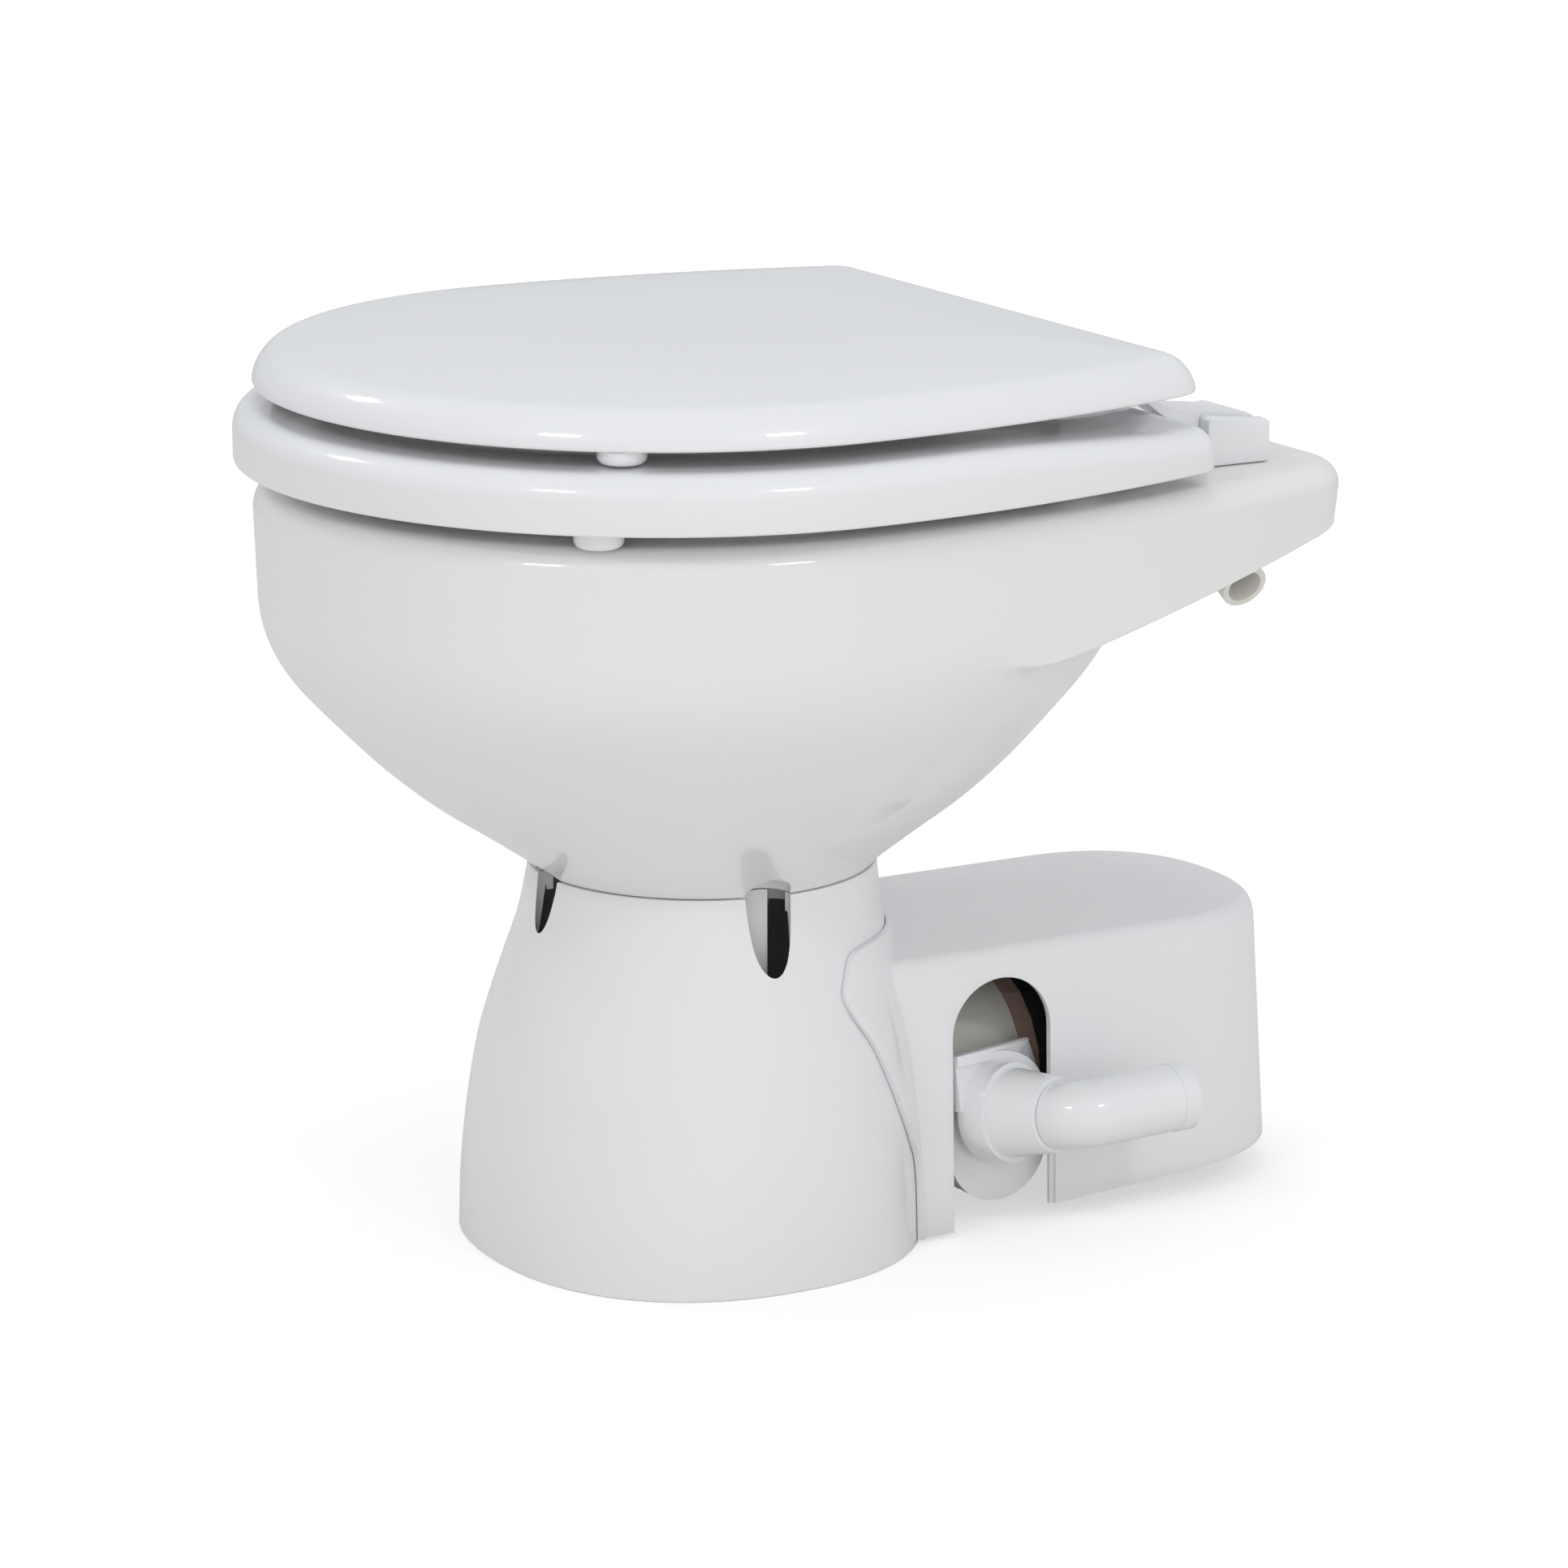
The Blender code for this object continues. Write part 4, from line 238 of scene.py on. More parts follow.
# Cover over the pump and motor
COVER_HALF_WIDTH = 0.066
COVER_TAPER = 0.0035
COVER_TOP_HALF_WIDTH = COVER_HALF_WIDTH - COVER_TAPER
COVER_REAR = 0.261
COVER_LEAN = 0.0075
COVER_TOP_REAR = COVER_REAR - COVER_LEAN
COVER_FRONT = 0.030
COVER_TOP = 0.1185
COVER_BOTTOM = 0.002
COVER_BACK_BOTTOM = 0.0065
COVER_WALL = 0.003
COVER_ROUNDING = 0.010
SHOULDER_SHARES = ((0.0, 1.0), (0.11, 0.5), (0.4, 0.18), (0.9, 0.12))
COVER_POWER = 2.35
ARCH_FRONT = 0.084
ARCH_REAR = 0.130
ARCH_TOP = 0.105
ARCH_REBATE = 0.0022
FLANGE_THICKNESS = 0.0026
COLLAR_HEIGHT = 0.010     # how far the flange stands over the cover's top, round the pedestal's neck
FLANGE_REACH = math.radians(73.2)
FLANGE_ROOT = math.radians(-3.0)
FLANGE_SHARES = ((0.0, 0.60), (0.235, 0.60), (0.343, 0.66), (0.431, 0.716), (0.559, 0.793), (0.70, 0.877),
                 (0.804, 0.965), (0.872, 1.0), (0.925, 0.974), (0.968, 0.943), (0.99, 0.902), (1.0, 0.80))

# Flush inlet under the deck
INLET_X = 0.060
INLET_SETBACK = 0.0266
INLET_Y = DECK_REAR - INLET_SETBACK
INLET_PIPE_RADIUS = 0.0098
INLET_PIPE_BORE = 0.0072
INLET_PIPE_DROP = 0.0157
INLET_PIPE_TURN = 0.0105
INLET_PIPE_END = 0.0165
INLET_PIPE_DIP = math.radians(28)
GROMMET_RADIUS = 0.0135
GROMMET_LIP = 0.0025
SOCKET_DEPTH = 0.012

# Drain bend from the bowl to the pump
BEND_RADIUS = 0.024

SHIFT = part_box("seat")[0].y - SEAT_FRONT
SIDES = (("right", 1), ("left", -1))
UP = Vector((0, 0, 1))

# Fineness of the round forms
NOSE_STEPS = 56
SIDE_STEPS = 26
CORNER_STEPS = 14
BACK_STEPS = 8
ROUND_STEPS = 64
SMALL_STEPS = 32
BUFFER_STEPS = 40
INLET_STEPS = 48
ELBOW_STEPS = 56
WELL_STEPS = 48
SECTOR_STEPS = 20
BEND_STEPS = 14
EDGE_STEPS = 6            # in the quarter round of a lip or a buffer
BREAK_STEPS = 3           # in a small edge break
ROUNDING_STEPS = 9
HOLE_STEPS = 8
BAND_STEPS = 12
SEAT_TOP_STEPS = 8
LID_SIDE_STEPS = 12
LID_CEILING_STEPS = 5
COVER_SIDE_STEPS = 13
COVER_BACK_STEPS = 72
COVER_RISE_STEPS = 8
FLANGE_STEPS = 24
ARCH_STEPS = 40
PLATE_STEPS = 36
PEDESTAL_POINTS = 180
FINE_RINGS = 6            # rings between two places of a table of shares
SHARP = math.radians(32)  # edges that turn by more than this stay sharp
WELD = 0.00001            # points nearer than this are one

# Edge breaks of the finished pieces
WELL_EDGE = 0.0006
POST_EDGE = 0.0009
COVER_EDGE = 0.0005
PORT_EDGE = 0.0012
ELBOW_EDGE = 0.0007
FINE_EDGE = 0.0004

# Forms that look different in the photo from the CAD, or that only the scene has
RING_TRIM = 0.0008        # off the radius of the elbow's end ring
CORNER_SHARE = 0.6        # of the rear corners of seat and lid
SEAT_ROUNDING = 0.0105
LID_CROWN_REACH = 0.118   # from the lid's edge to the crown's innermost ring
LID_CROWN_POWER = 2.2
LID_CROWN_SHARES = (0.03, 0.06, 0.1, 0.15, 0.22, 0.3, 0.4, 0.5, 0.62, 0.74, 0.86, 1.0)
LID_CEILING_SHARE = 0.6   # of the crown's rise, on the lid's underside
LID_SIDE_POWER = 1.6
LID_SIDE_TURN = math.radians(72)
SHIELD_TURNS = (math.radians(-30), math.radians(85))
SLOT_TURNS = (math.radians(-78), math.radians(-30))
SLOT_DEPTH = 0.015
SCALLOP_RISE = 0.0105
LIFT_SLOPE = 0.060        # of the cover's bottom edge, from the arch to the rear
HOOD_NEAR, HOOD_FAR, HOOD_LIP = -0.0140, -0.0104, -0.0090      # along the port's axis
HOOD_PLATE = ((-0.0205, 0.0040), (0.0312, 0.0040), (0.0249, 0.0252), (-0.0205, 0.0268))
HOOD_RIDGE = ((-0.0205, 0.0224), (0.0165, 0.0205), (0.0246, 0.0248), (-0.0205, 0.0268))
HOOD_FOOT = 0.060         # where the block behind the hood ends
LIP_GAP = 0.0005          # between the bowl's foot and the lip round the pedestal's top
LIP_INNER = 0.0435
LIP_ROUND = 0.0005
FOLD_STEP = 0.0035        # between the band and the bulb, for the fold to stay soft
FOLD_ABOVE = 0.012
FOLD_RINGS = 8            # below the crease

# Materials: name, colour, drift of the colour, roughness, its drift, metallic, grain, bump, coat
LOOK_ROWS = (
    ("china", (0.82, 0.815, 0.80), 0.012, 0.34, 0.03, 0.0, 38, 0.010, 0.50),
    ("plastic", (0.82, 0.825, 0.835), 0.010, 0.36, 0.03, 0.0, 60, 0.010, 0.70),
    ("cream", (0.78, 0.76, 0.71), 0.03, 0.38, 0.06, 0.0, 90, 0.04, 0.0),
    ("rubber", (0.03, 0.03, 0.03), 0.10, 0.68, 0.10, 0.0, 400, 0.10, 0.0),
    ("black", (0.022, 0.021, 0.020), 0.12, 0.42, 0.08, 0.0, 300, 0.06, 0.0),
    ("copper", (0.62, 0.43, 0.35), 0.08, 0.40, 0.08, 0.5, 220, 0.05, 0.0),
    ("steel", (0.58, 0.58, 0.58), 0.05, 0.26, 0.08, 1.0, 500, 0.04, 0.0),
    ("brass", (0.71, 0.55, 0.27), 0.06, 0.30, 0.08, 1.0, 300, 0.04, 0.0),
    ("ferrite", (0.09, 0.09, 0.10), 0.12, 0.72, 0.08, 0.0, 500, 0.10, 0.0))
COAT_ROUGHNESS = 0.04
COLOUR_SPREAD = 6         # how much wider the colour drifts than the surface's grain
RELIEF_DEPTH = 0.001

# Camera, fitted to the photo
CAMERA_PLACE = (1.98288, -1.11413, 0.74488)
CAMERA_TARGET = (-0.00064, 0.00179, 0.1793)
CAMERA_LENS = 133.70
SENSOR = 36.0

# Floor, world and lamps
FLOOR_SIZE = 12.0
FLOOR_COLOUR = (0.83, 0.82, 0.795, 1)
FLOOR_ROUGHNESS = 0.9
GLOW_REACH = (0.3, 2.0)   # from the middle: the floor's glow rises between these
GLOW_STRENGTH = (1.62, 2.20)
GLOW_SHARE = 0.36         # of what the camera sees of the floor
WORLD_COLOUR = (0.95, 0.97, 1.0, 1)
WORLD_STRENGTH = 0.68
LAMP_AIM = (0, 0, 0.2)
# Each lamp: name, azimuth, elevation, distance, width, height, power, whether it shows in reflections
LAMP_ROWS = (
    ("softbox_right", 6, 36, 2.6, 0.44, 0.24, 5.4, True),
    ("softbox_left", -62, 36, 2.6, 0.44, 0.24, 5.4, True),
    ("softbox_far_left", -143, 40, 2.6, 0.36, 0.36, 3.6, True),
    ("fill", -12, 9, 3.6, 2.6, 2.0, 18, False),
    ("overhead", 20, 88, 3.0, 1.1, 1.1, 10, False))


def blend(low, high, share):
    return low + (high - low) * share


def span(sign, near, far):
    """A stretch along X on the side that the sign gives, from its lower to its higher end."""
    return sorted((sign * near, sign * far))


def turns(angle, steps):
    """Even angles from 0 to the one given."""
    return [angle * i / steps for i in range(steps + 1)]


def circle(steps):
    return turns(2 * math.pi, steps)[:-1]


def smooth_step(share):
    share = min(1.0, max(0.0, share))
    return share * share * (3 - 2 * share)


def smooth_table(table):
    """The table's places with FINE_RINGS more between each two, on one smooth curve through them."""
    places = [Vector(pair) for pair in table]
    places = [2 * places[0] - places[1]] + places + [2 * places[-1] - places[-2]]
    fine = []
    for before, start, end, after in zip(places, places[1:], places[2:], places[3:]):
        for i in range(FINE_RINGS):
            t = i / FINE_RINGS
            fine.append(0.5 * ((2 * start) + (end - before) * t
                               + (2 * before - 5 * start + 4 * end - after) * t * t
                               + (3 * start - before - 3 * end + after) * t ** 3))
    return fine + [places[-2]]


def lookup(table, share):
    for low, high in zip(table, table[1:]):
        if share <= high[0]:
            return blend(low[1], high[1], (share - low[0]) / (high[0] - low[0]))
    return table[-1][1]


def shade(mesh):
    mesh.shade_smooth()
    mesh.set_sharp_from_angle(angle=SHARP)


def to_mesh(bm, name):
    mesh = bpy.data.meshes.new(name)
    bmesh.ops.recalc_face_normals(bm, faces=bm.faces)
    bm.to_mesh(mesh)
    bm.free()
    shade(mesh)
    return mesh


def loft(name, rings, wrap=False):
    """Faces between rings of as many points each; wrapped, the last ring meets the first."""
    bm = bmesh.new()
    rows = [[bm.verts.new(point) for point in ring] for ring in rings]
    pairs = list(zip(rows, rows[1:]))
    if wrap:
        pairs.append((rows[-1], rows[0]))
    for low, high in pairs:
        for i, corner in enumerate(low):
            j = (i + 1) % len(low)
            bm.faces.new((corner, low[j], high[j], high[i]))
    if not wrap:
        bm.faces.new(list(reversed(rows[0])))
        bm.faces.new(rows[-1])
    return to_mesh(bm, name)


def box_mesh(name, low, high):
    bm = bmesh.new()
    bmesh.ops.create_cube(bm, size=1.0)
    low, high = Vector(low), Vector(high)
    bmesh.ops.scale(bm, vec=high - low, verts=bm.verts)
    bmesh.ops.translate(bm, vec=(low + high) / 2, verts=bm.verts)
    return to_mesh(bm, name)


def axis_turn(axis):
    """The turn that lays +Z along an axis."""
    return UP.rotation_difference(Vector(axis)).to_matrix().to_4x4()


def rod_mesh(name, radius, start, end, steps=SMALL_STEPS):
    start, end = Vector(start), Vector(end)
    bm = bmesh.new()
    bmesh.ops.create_cone(bm, cap_ends=True, segments=steps, radius1=radius, radius2=radius,
                          depth=(end - start).length)
    place = Matrix.Translation((start + end) / 2) @ axis_turn(end - start)
    bmesh.ops.transform(bm, matrix=place, verts=bm.verts)
    return to_mesh(bm, name)


def upright(name, radius, x, y, low, high, steps=SMALL_STEPS):
    return rod_mesh(name, radius, (x, y, low), (x, y, high), steps)


def turned_mesh(name, outline, centre, axis, steps=ROUND_STEPS):
    """A profile of (radius, height) points turned round an axis; one that starts off it leaves a bore."""
    bm = bmesh.new()
    bored = outline[0][0] > 0
    points = [bm.verts.new((radius, 0, height)) for radius, height in outline]
    edges = [bm.edges.new(pair) for pair in zip(points, points[1:])]
    if bored:
        edges.append(bm.edges.new((points[-1], points[0])))
    bmesh.ops.spin(bm, geom=points + edges, axis=UP, angle=2 * math.pi, steps=steps, use_merge=True)
    bmesh.ops.remove_doubles(bm, verts=bm.verts, dist=WELD)
    bmesh.ops.transform(bm, matrix=Matrix.Translation(centre) @ axis_turn(axis), verts=bm.verts)
    return to_mesh(bm, name)


def plate_mesh(name, outline, low, high):
    """A flat outline of (y, z) points, with its thickness along X."""
    return loft(name, [[(depth, *point) for point in outline] for depth in (low, high)])


def tube_mesh(name, points, radius, steps):
    """A round bar along points in one plane; each ring stands halfway between the runs that meet there."""
    runs = [(after - before).normalized() for before, after in zip(points, points[1:])]
    across = runs[0].cross(runs[-1]).normalized()
    rings = []
    for point, into, out in zip(points, runs[:1] + runs, runs + runs[-1:]):
        up = across.cross(into + out).normalized()
        rings.append([point + radius * (math.cos(a) * across + math.sin(a) * up) for a in circle(steps)])
    return loft(name, rings)


def bend(start, corner, end, radius):
    """Points of a straight run, an arc and a second straight run."""
    start, corner, end = Vector(start), Vector(corner), Vector(end)
    into, out = (start - corner).normalized(), (end - corner).normalized()
    half = into.angle(out) / 2
    trim = radius / math.tan(half)
    centre = corner + (into + out).normalized() * radius / math.sin(half)
    first = corner + into * trim - centre
    last = corner + out * trim - centre
    axis = first.cross(last).normalized()
    sweep = first.angle(last)
    arc = [centre + Matrix.Rotation(a, 3, axis) @ first for a in turns(sweep, BEND_STEPS)]
    return [start] + arc + [end]


def lengthened(route):
    """The route with both of its ends run on, for a cutter."""
    first = route[0] + (route[0] - route[1]).normalized() * OVERRUN
    last = route[-1] + (route[-1] - route[-2]).normalized() * OVERRUN
    return [first] + route[1:-1] + [last]


def plan_outline(half_width, front, widest, rear, rear_half_width, corner, inset=0.0):
    """An egg in front with tapering sides, two round corners and a straight edge at the back."""
    wide, back = half_width - inset, rear_half_width - inset
    nose, tail = front + inset, rear - inset
    turn = max(corner - inset, corner / 3)
    lean = 0.0
    for _ in range(4):        # the side's end and its lean depend on each other
        side_end = tail - turn * (1 - math.sin(lean))
        lean = math.atan2(2 * (wide - back), side_end - widest)
    half = [(wide * math.sin(a), widest - (widest - nose) * math.cos(a)) for a in turns(QUARTER, NOSE_STEPS)]
    for i in range(1, SIDE_STEPS + 1):
        share = i / SIDE_STEPS
        half.append((wide - (wide - back) * share ** 2, blend(widest, side_end, share)))
    middle = back - turn * math.cos(lean)
    for i in range(1, CORNER_STEPS + 1):
        a = blend(lean, QUARTER, i / CORNER_STEPS)
        half.append((middle + turn * math.cos(a), tail - turn + turn * math.sin(a)))
    for i in range(1, BACK_STEPS + 1):
        half.append((middle * (1 - i / BACK_STEPS), tail))
    return half + [(-x, y) for x, y in reversed(half[1:-1])]


def at_height(outline, height):
    """Lift flat points to a height, which is a number or a function of the point."""
    return [Vector((x, y, height(x, y) if callable(height) else height)) for x, y in outline]


def rounding(make_outline, radius, top, steps):
    """Rings round an upper outer edge, from its side to its top."""
    rings = []
    for a in turns(QUARTER, steps):
        drop = radius * (1 - math.sin(a))
        level = (lambda x, y, d=drop: top(x, y) - d) if callable(top) else top - drop
        rings.append(at_height(make_outline(radius * (1 - math.cos(a))), level))
    return rings


def new_object(name, data):
    item = bpy.data.objects.new(name, data)
    bpy.context.scene.collection.objects.link(item)
    return item


def settle(item):
    """Apply the item's modifiers to its mesh."""
    bpy.context.view_layer.update()
    mesh = bpy.data.meshes.new_from_object(item.evaluated_get(bpy.context.evaluated_depsgraph_get()))
    item.modifiers.clear()
    item.data = mesh


def carve(item, meshes, operation="DIFFERENCE"):
    for mesh in meshes:
        tool = new_object("tool", mesh)
        modifier = item.modifiers.new("carve", "BOOLEAN")
        modifier.operation = operation
        modifier.object = tool
        settle(item)
        bpy.data.objects.remove(tool, do_unlink=True)


def soften(item, width, segments=2, angle=40):
    """Round the item's sharp edges, and shade the rest smooth."""
    modifier = item.modifiers.new("soften", "BEVEL")
    modifier.width = width
    modifier.segments = segments
    modifier.limit_method = "ANGLE"
    modifier.angle_limit = math.radians(angle)
    settle(item)
    shade(item.data)


def dress(item, look, body, *nodes):
    """Give a piece its material, its body and the CAD nodes that it stands for."""
    item.data.transform(Matrix.Translation((0, SHIFT, 0)))
    item.data.materials.clear()
    item.data.materials.append(LOOKS[look])
    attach(item, body)
    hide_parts(*nodes)


def set_values(node, values):
    for socket, value in values.items():
        node.inputs[socket].default_value = value


def make_look(name, colour, vary, roughness, rough_vary, metallic, grain, bump, coat):
    """Colour and gloss that drift a little over the piece, and a faint unevenness of its surface."""
    material = bpy.data.materials.new(name)
    material.use_nodes = True
    nodes, links = material.node_tree.nodes, material.node_tree.links
    shader = nodes["Principled BSDF"]
    set_values(shader, {"Metallic": metallic, "Coat Weight": coat, "Coat Roughness": COAT_ROUGHNESS})
    place = nodes.new("ShaderNodeTexCoord")
    broad = nodes.new("ShaderNodeTexNoise")
    fine = nodes.new("ShaderNodeTexNoise")
    for texture, scale, detail in ((broad, grain / COLOUR_SPREAD, 3), (fine, grain, 4)):
        set_values(texture, {"Scale": scale, "Detail": detail})
        links.new(place.outputs["Object"], texture.inputs["Vector"])
    ramp = nodes.new("ShaderNodeMix")
    ramp.data_type = "RGBA"
    ramp.inputs[6].default_value = (*[c * (1 - vary) for c in colour], 1)
    ramp.inputs[7].default_value = (*[min(1, c * (1 + vary)) for c in colour], 1)
    links.new(broad.outputs["Fac"], ramp.inputs[0])
    links.new(ramp.outputs[2], shader.inputs["Base Color"])
    gloss = nodes.new("ShaderNodeMapRange")
    set_values(gloss, {"To Min": roughness - rough_vary, "To Max": roughness + rough_vary})
    links.new(fine.outputs["Fac"], gloss.inputs["Value"])
    links.new(gloss.outputs["Result"], shader.inputs["Roughness"])
    relief = nodes.new("ShaderNodeBump")
    set_values(relief, {"Strength": bump, "Distance": RELIEF_DEPTH})
    links.new(fine.outputs["Fac"], relief.inputs["Height"])
    links.new(relief.outputs["Normal"], shader.inputs["Normal"])
    return material


def rim_outline(inset):
    return plan_outline(RIM_HALF_WIDTH, RIM_FRONT, RIM_WIDEST, DECK_REAR,
                        DECK_HALF_WIDTH, DECK_CORNER, inset)


def deck_underside(x, y):
    return max(RIM_UNDERSIDE, RIM_TOP - DECK_THICKNESS + (y - DECK_REAR) * DECK_UNDERSIDE_SLOPE)


def deck_seat(x, y, radius):
    return deck_underside(x, y) - radius * DECK_UNDERSIDE_SLOPE


def foot_places(side_reach, end_reach):
    """Four places round the foot: right, front, left and back."""
    return [(side_reach, SIDE_BOLT_Y), (0.0, FOOT_CENTRE - end_reach),
            (-side_reach, SIDE_BOLT_Y), (0.0, FOOT_CENTRE + end_reach)]


def well_meshes():
    low, high = FOOT_BOTTOM - WELL_DEPTH, FOOT_BOTTOM + SCALLOP_RISE
    return [upright("well", WELL_RADIUS, x, y, low, high, WELL_STEPS)
            for x, y in foot_places(WELL_SIDE_REACH, WELL_END_REACH)]


def well_sectors(reach, bounds, high):
    """A slice of a ring round each well; its bounds are turned from the direction of the foot's middle."""
    meshes = []
    for x, y in foot_places(WELL_SIDE_REACH, WELL_END_REACH):
        inward = math.atan2(-y, -x) if x else math.atan2(FOOT_CENTRE - y, -x)
        first, last = bounds if x else (-bounds[0], -bounds[1])
        angles = [inward + blend(first, last, i / SECTOR_STEPS) for i in range(SECTOR_STEPS + 1)]
        rows = ((WELL_RADIUS + reach, angles), (WELL_RADIUS - SHIELD_THICKNESS, angles[::-1]))
        flat = [(x + radius * math.cos(a), y + radius * math.sin(a)) for radius, row in rows for a in row]
        meshes.append(loft("sector", [at_height(flat, FOOT_BOTTOM - WELL_DEPTH), at_height(flat, high)]))
    return meshes


def bowl_rings():
    """Rings from the drain up the inside, over the rim and deck, and down the outside to the foot."""
    angles = [math.atan2(y, x) for x, y in rim_outline(0.0)]

    def oval(half_width, half_length, height, centre=0.0):
        flat = [(half_width * math.cos(a), centre + half_length * math.sin(a)) for a in angles]
        return at_height(flat, height)

    def between(inner, outer, share, height):
        centre = blend(FOOT_CENTRE, 0.0, share)
        return oval(blend(inner, outer[0], share), blend(inner, outer[1], share), height, centre)

    def mouth(grow, height):
        return oval(MOUTH_HALF_WIDTH + grow, MOUTH_HALF_LENGTH + grow, height)

    outside = (BULB_HALF_WIDTH, BULB_HALF_LENGTH)
    inside = (BULB_HALF_WIDTH - BOWL_WALL, BULB_HALF_LENGTH - BOWL_WALL)
    rings = [oval(DRAIN_RADIUS, DRAIN_RADIUS, FOOT_BOTTOM, FOOT_CENTRE)]
    for height, spread in smooth_table(CAVITY_SHARES):
        rings.append(between(DRAIN_RADIUS, inside, spread, blend(BOWL_FLOOR, BULB_TOP, height)))
    lip_bottom = RIM_TOP - LIP_HEIGHT
    rings.append(oval(inside[0] + EDGE, inside[1] + EDGE, lip_bottom + EDGE))
    for grow, rise in ((2 * EDGE, 0.0), (EDGE, EDGE / 4), (0.0, EDGE)):
        rings.append(mouth(grow, lip_bottom + rise))
    for a in turns(QUARTER, EDGE_STEPS):
        rings.append(mouth(LIP_EDGE * (1 - math.cos(a)), RIM_TOP - LIP_EDGE * (1 - math.sin(a))))
    rings += reversed(rounding(rim_outline, RIM_ROUNDING, RIM_TOP, ROUNDING_STEPS))
    band_top = len(rings)
    for i in range(1, BAND_STEPS + 1):
        def band_level(x, y, share=i / (BAND_STEPS + 0.5)):
            return blend(RIM_TOP - RIM_ROUNDING, deck_underside(x, y), share)
        rings.append(at_height(rim_outline(RIM_TAPER * i / BAND_STEPS), band_level))
    rings.append(at_height(rim_outline(RIM_TAPER), lambda x, y: deck_underside(x, y) + RIM_STEP / 4))
    rings.append(at_height(rim_outline(RIM_TAPER + RIM_STEP / 4), deck_underside))
    crease = len(rings) - 1
    for height, spread in smooth_table(BULB_SHARES):
        level = blend(FOOT_BOTTOM, BULB_TOP, height)
        ring = between(FOOT_RADIUS, outside, spread, level)
        if height == 1.0:
            for point in ring:
                point.z = deck_underside(point.x, point.y) - RIM_STEP
        rings.append(ring)
    ease_crease(rings, band_top, crease)
    return rings


def ease_crease(rings, first, crease):
    """Let the band flow into the bulb in a soft fold wherever the deck doesn't stand out between them."""
    last = crease + FOLD_RINGS
    for i in range(len(rings[0])):
        edge, below = rings[crease][i], rings[crease + 1][i]
        step = math.hypot(edge.x, edge.y) - math.hypot(below.x, below.y)
        share = 1 - smooth_step((step - FOLD_STEP) / FOLD_STEP)
        if not share:
            continue
        top = rings[crease][i].z + FOLD_ABOVE
        start = min(range(first, crease), key=lambda k: abs(rings[k][i].z - top))
        column = [rings[k][i].copy() for k in range(start, last + 1)]
        lengths = [0.0]
        for before, after in zip(column, column[1:]):
            lengths.append(lengths[-1] + (after - before).length)
        total = lengths[-1]
        into = (column[1] - column[0]).normalized() * total / 3
        out = (column[-1] - column[-2]).normalized() * total / 3
        a, b, c, d = column[0], column[0] + into, column[-1] - out, column[-1]
        for k, length in enumerate(lengths[1:-1], 1):
            t = length / total
            soft = a * (1 - t) ** 3 + b * 3 * t * (1 - t) ** 2 + c * 3 * t * t * (1 - t) + d * t ** 3
            rings[start + k][i] = column[k].lerp(soft, share)


def make_bowl():
    bowl = new_object("china_bowl", loft("china_bowl", bowl_rings(), wrap=True))
    carve(bowl, well_meshes())
    cutters = [upright("insert_hole", INSERT_RADIUS + TOUCH, x, y, FOOT_BOTTOM - OVERRUN,
                       FOOT_BOTTOM + INSERT_LENGTH + TOUCH)
               for x, y in foot_places(BOLT_SIDE_REACH, BOLT_END_REACH)]
    low = RIM_UNDERSIDE - OVERRUN
    for _, sign in SIDES:
        x, y = sign * HINGE_X, HINGE_Y - STUD_FORWARD
        nut_seat = deck_seat(x, y, WING_NUT_RADIUS) + TOUCH
        cutters.append(upright("stud_hole", STUD_RADIUS + SLIDE, x, y, low, RIM_TOP + OVERRUN))
        cutters.append(upright("nut_seat", WING_NUT_RADIUS + SLIDE, x, y, low, nut_seat))
    x, y = INLET_X, INLET_Y
    floor = deck_seat(x, y, GROMMET_RADIUS)
    cutters.append(upright("inlet_socket", GROMMET_RADIUS - GROMMET_LIP + SLIDE, x, y,
                           RIM_UNDERSIDE, floor + SOCKET_DEPTH))
    cutters.append(upright("inlet_seat", GROMMET_RADIUS + SLIDE, x, y, RIM_UNDERSIDE, floor + TOUCH))
    carve(bowl, cutters)
    soften(bowl, WELL_EDGE, angle=50)
    dress(bowl, "china", "toilet", "bowl")


def pedestal_point(share, angle, spread, grow=0.0):
    """A point of the pedestal's skin at a share of its height; its plan grows rounder towards the top."""
    half_width = blend(PEDESTAL_TOP_RADIUS, PEDESTAL_HALF_WIDTH, spread) + grow
    half_length = blend(PEDESTAL_TOP_RADIUS, PEDESTAL_HALF_LENGTH, spread) + grow
    centre = blend(FOOT_CENTRE, PEDESTAL_CENTRE, spread)
    power = blend(PEDESTAL_POWER, 2.0, share)
    reach = ((abs(math.cos(angle)) / half_width) ** power
             + (abs(math.sin(angle)) / half_length) ** power) ** (-1 / power)
    return Vector((reach * math.cos(angle), centre + reach * math.sin(angle), share * PEDESTAL_TOP))


def pedestal_ring(share, spread, grow=0.0, height=None):
    ring = [pedestal_point(share, a, spread, grow) for a in circle(PEDESTAL_POINTS)]
    if height is not None:
        for point in ring:
            point.z = height
    return ring


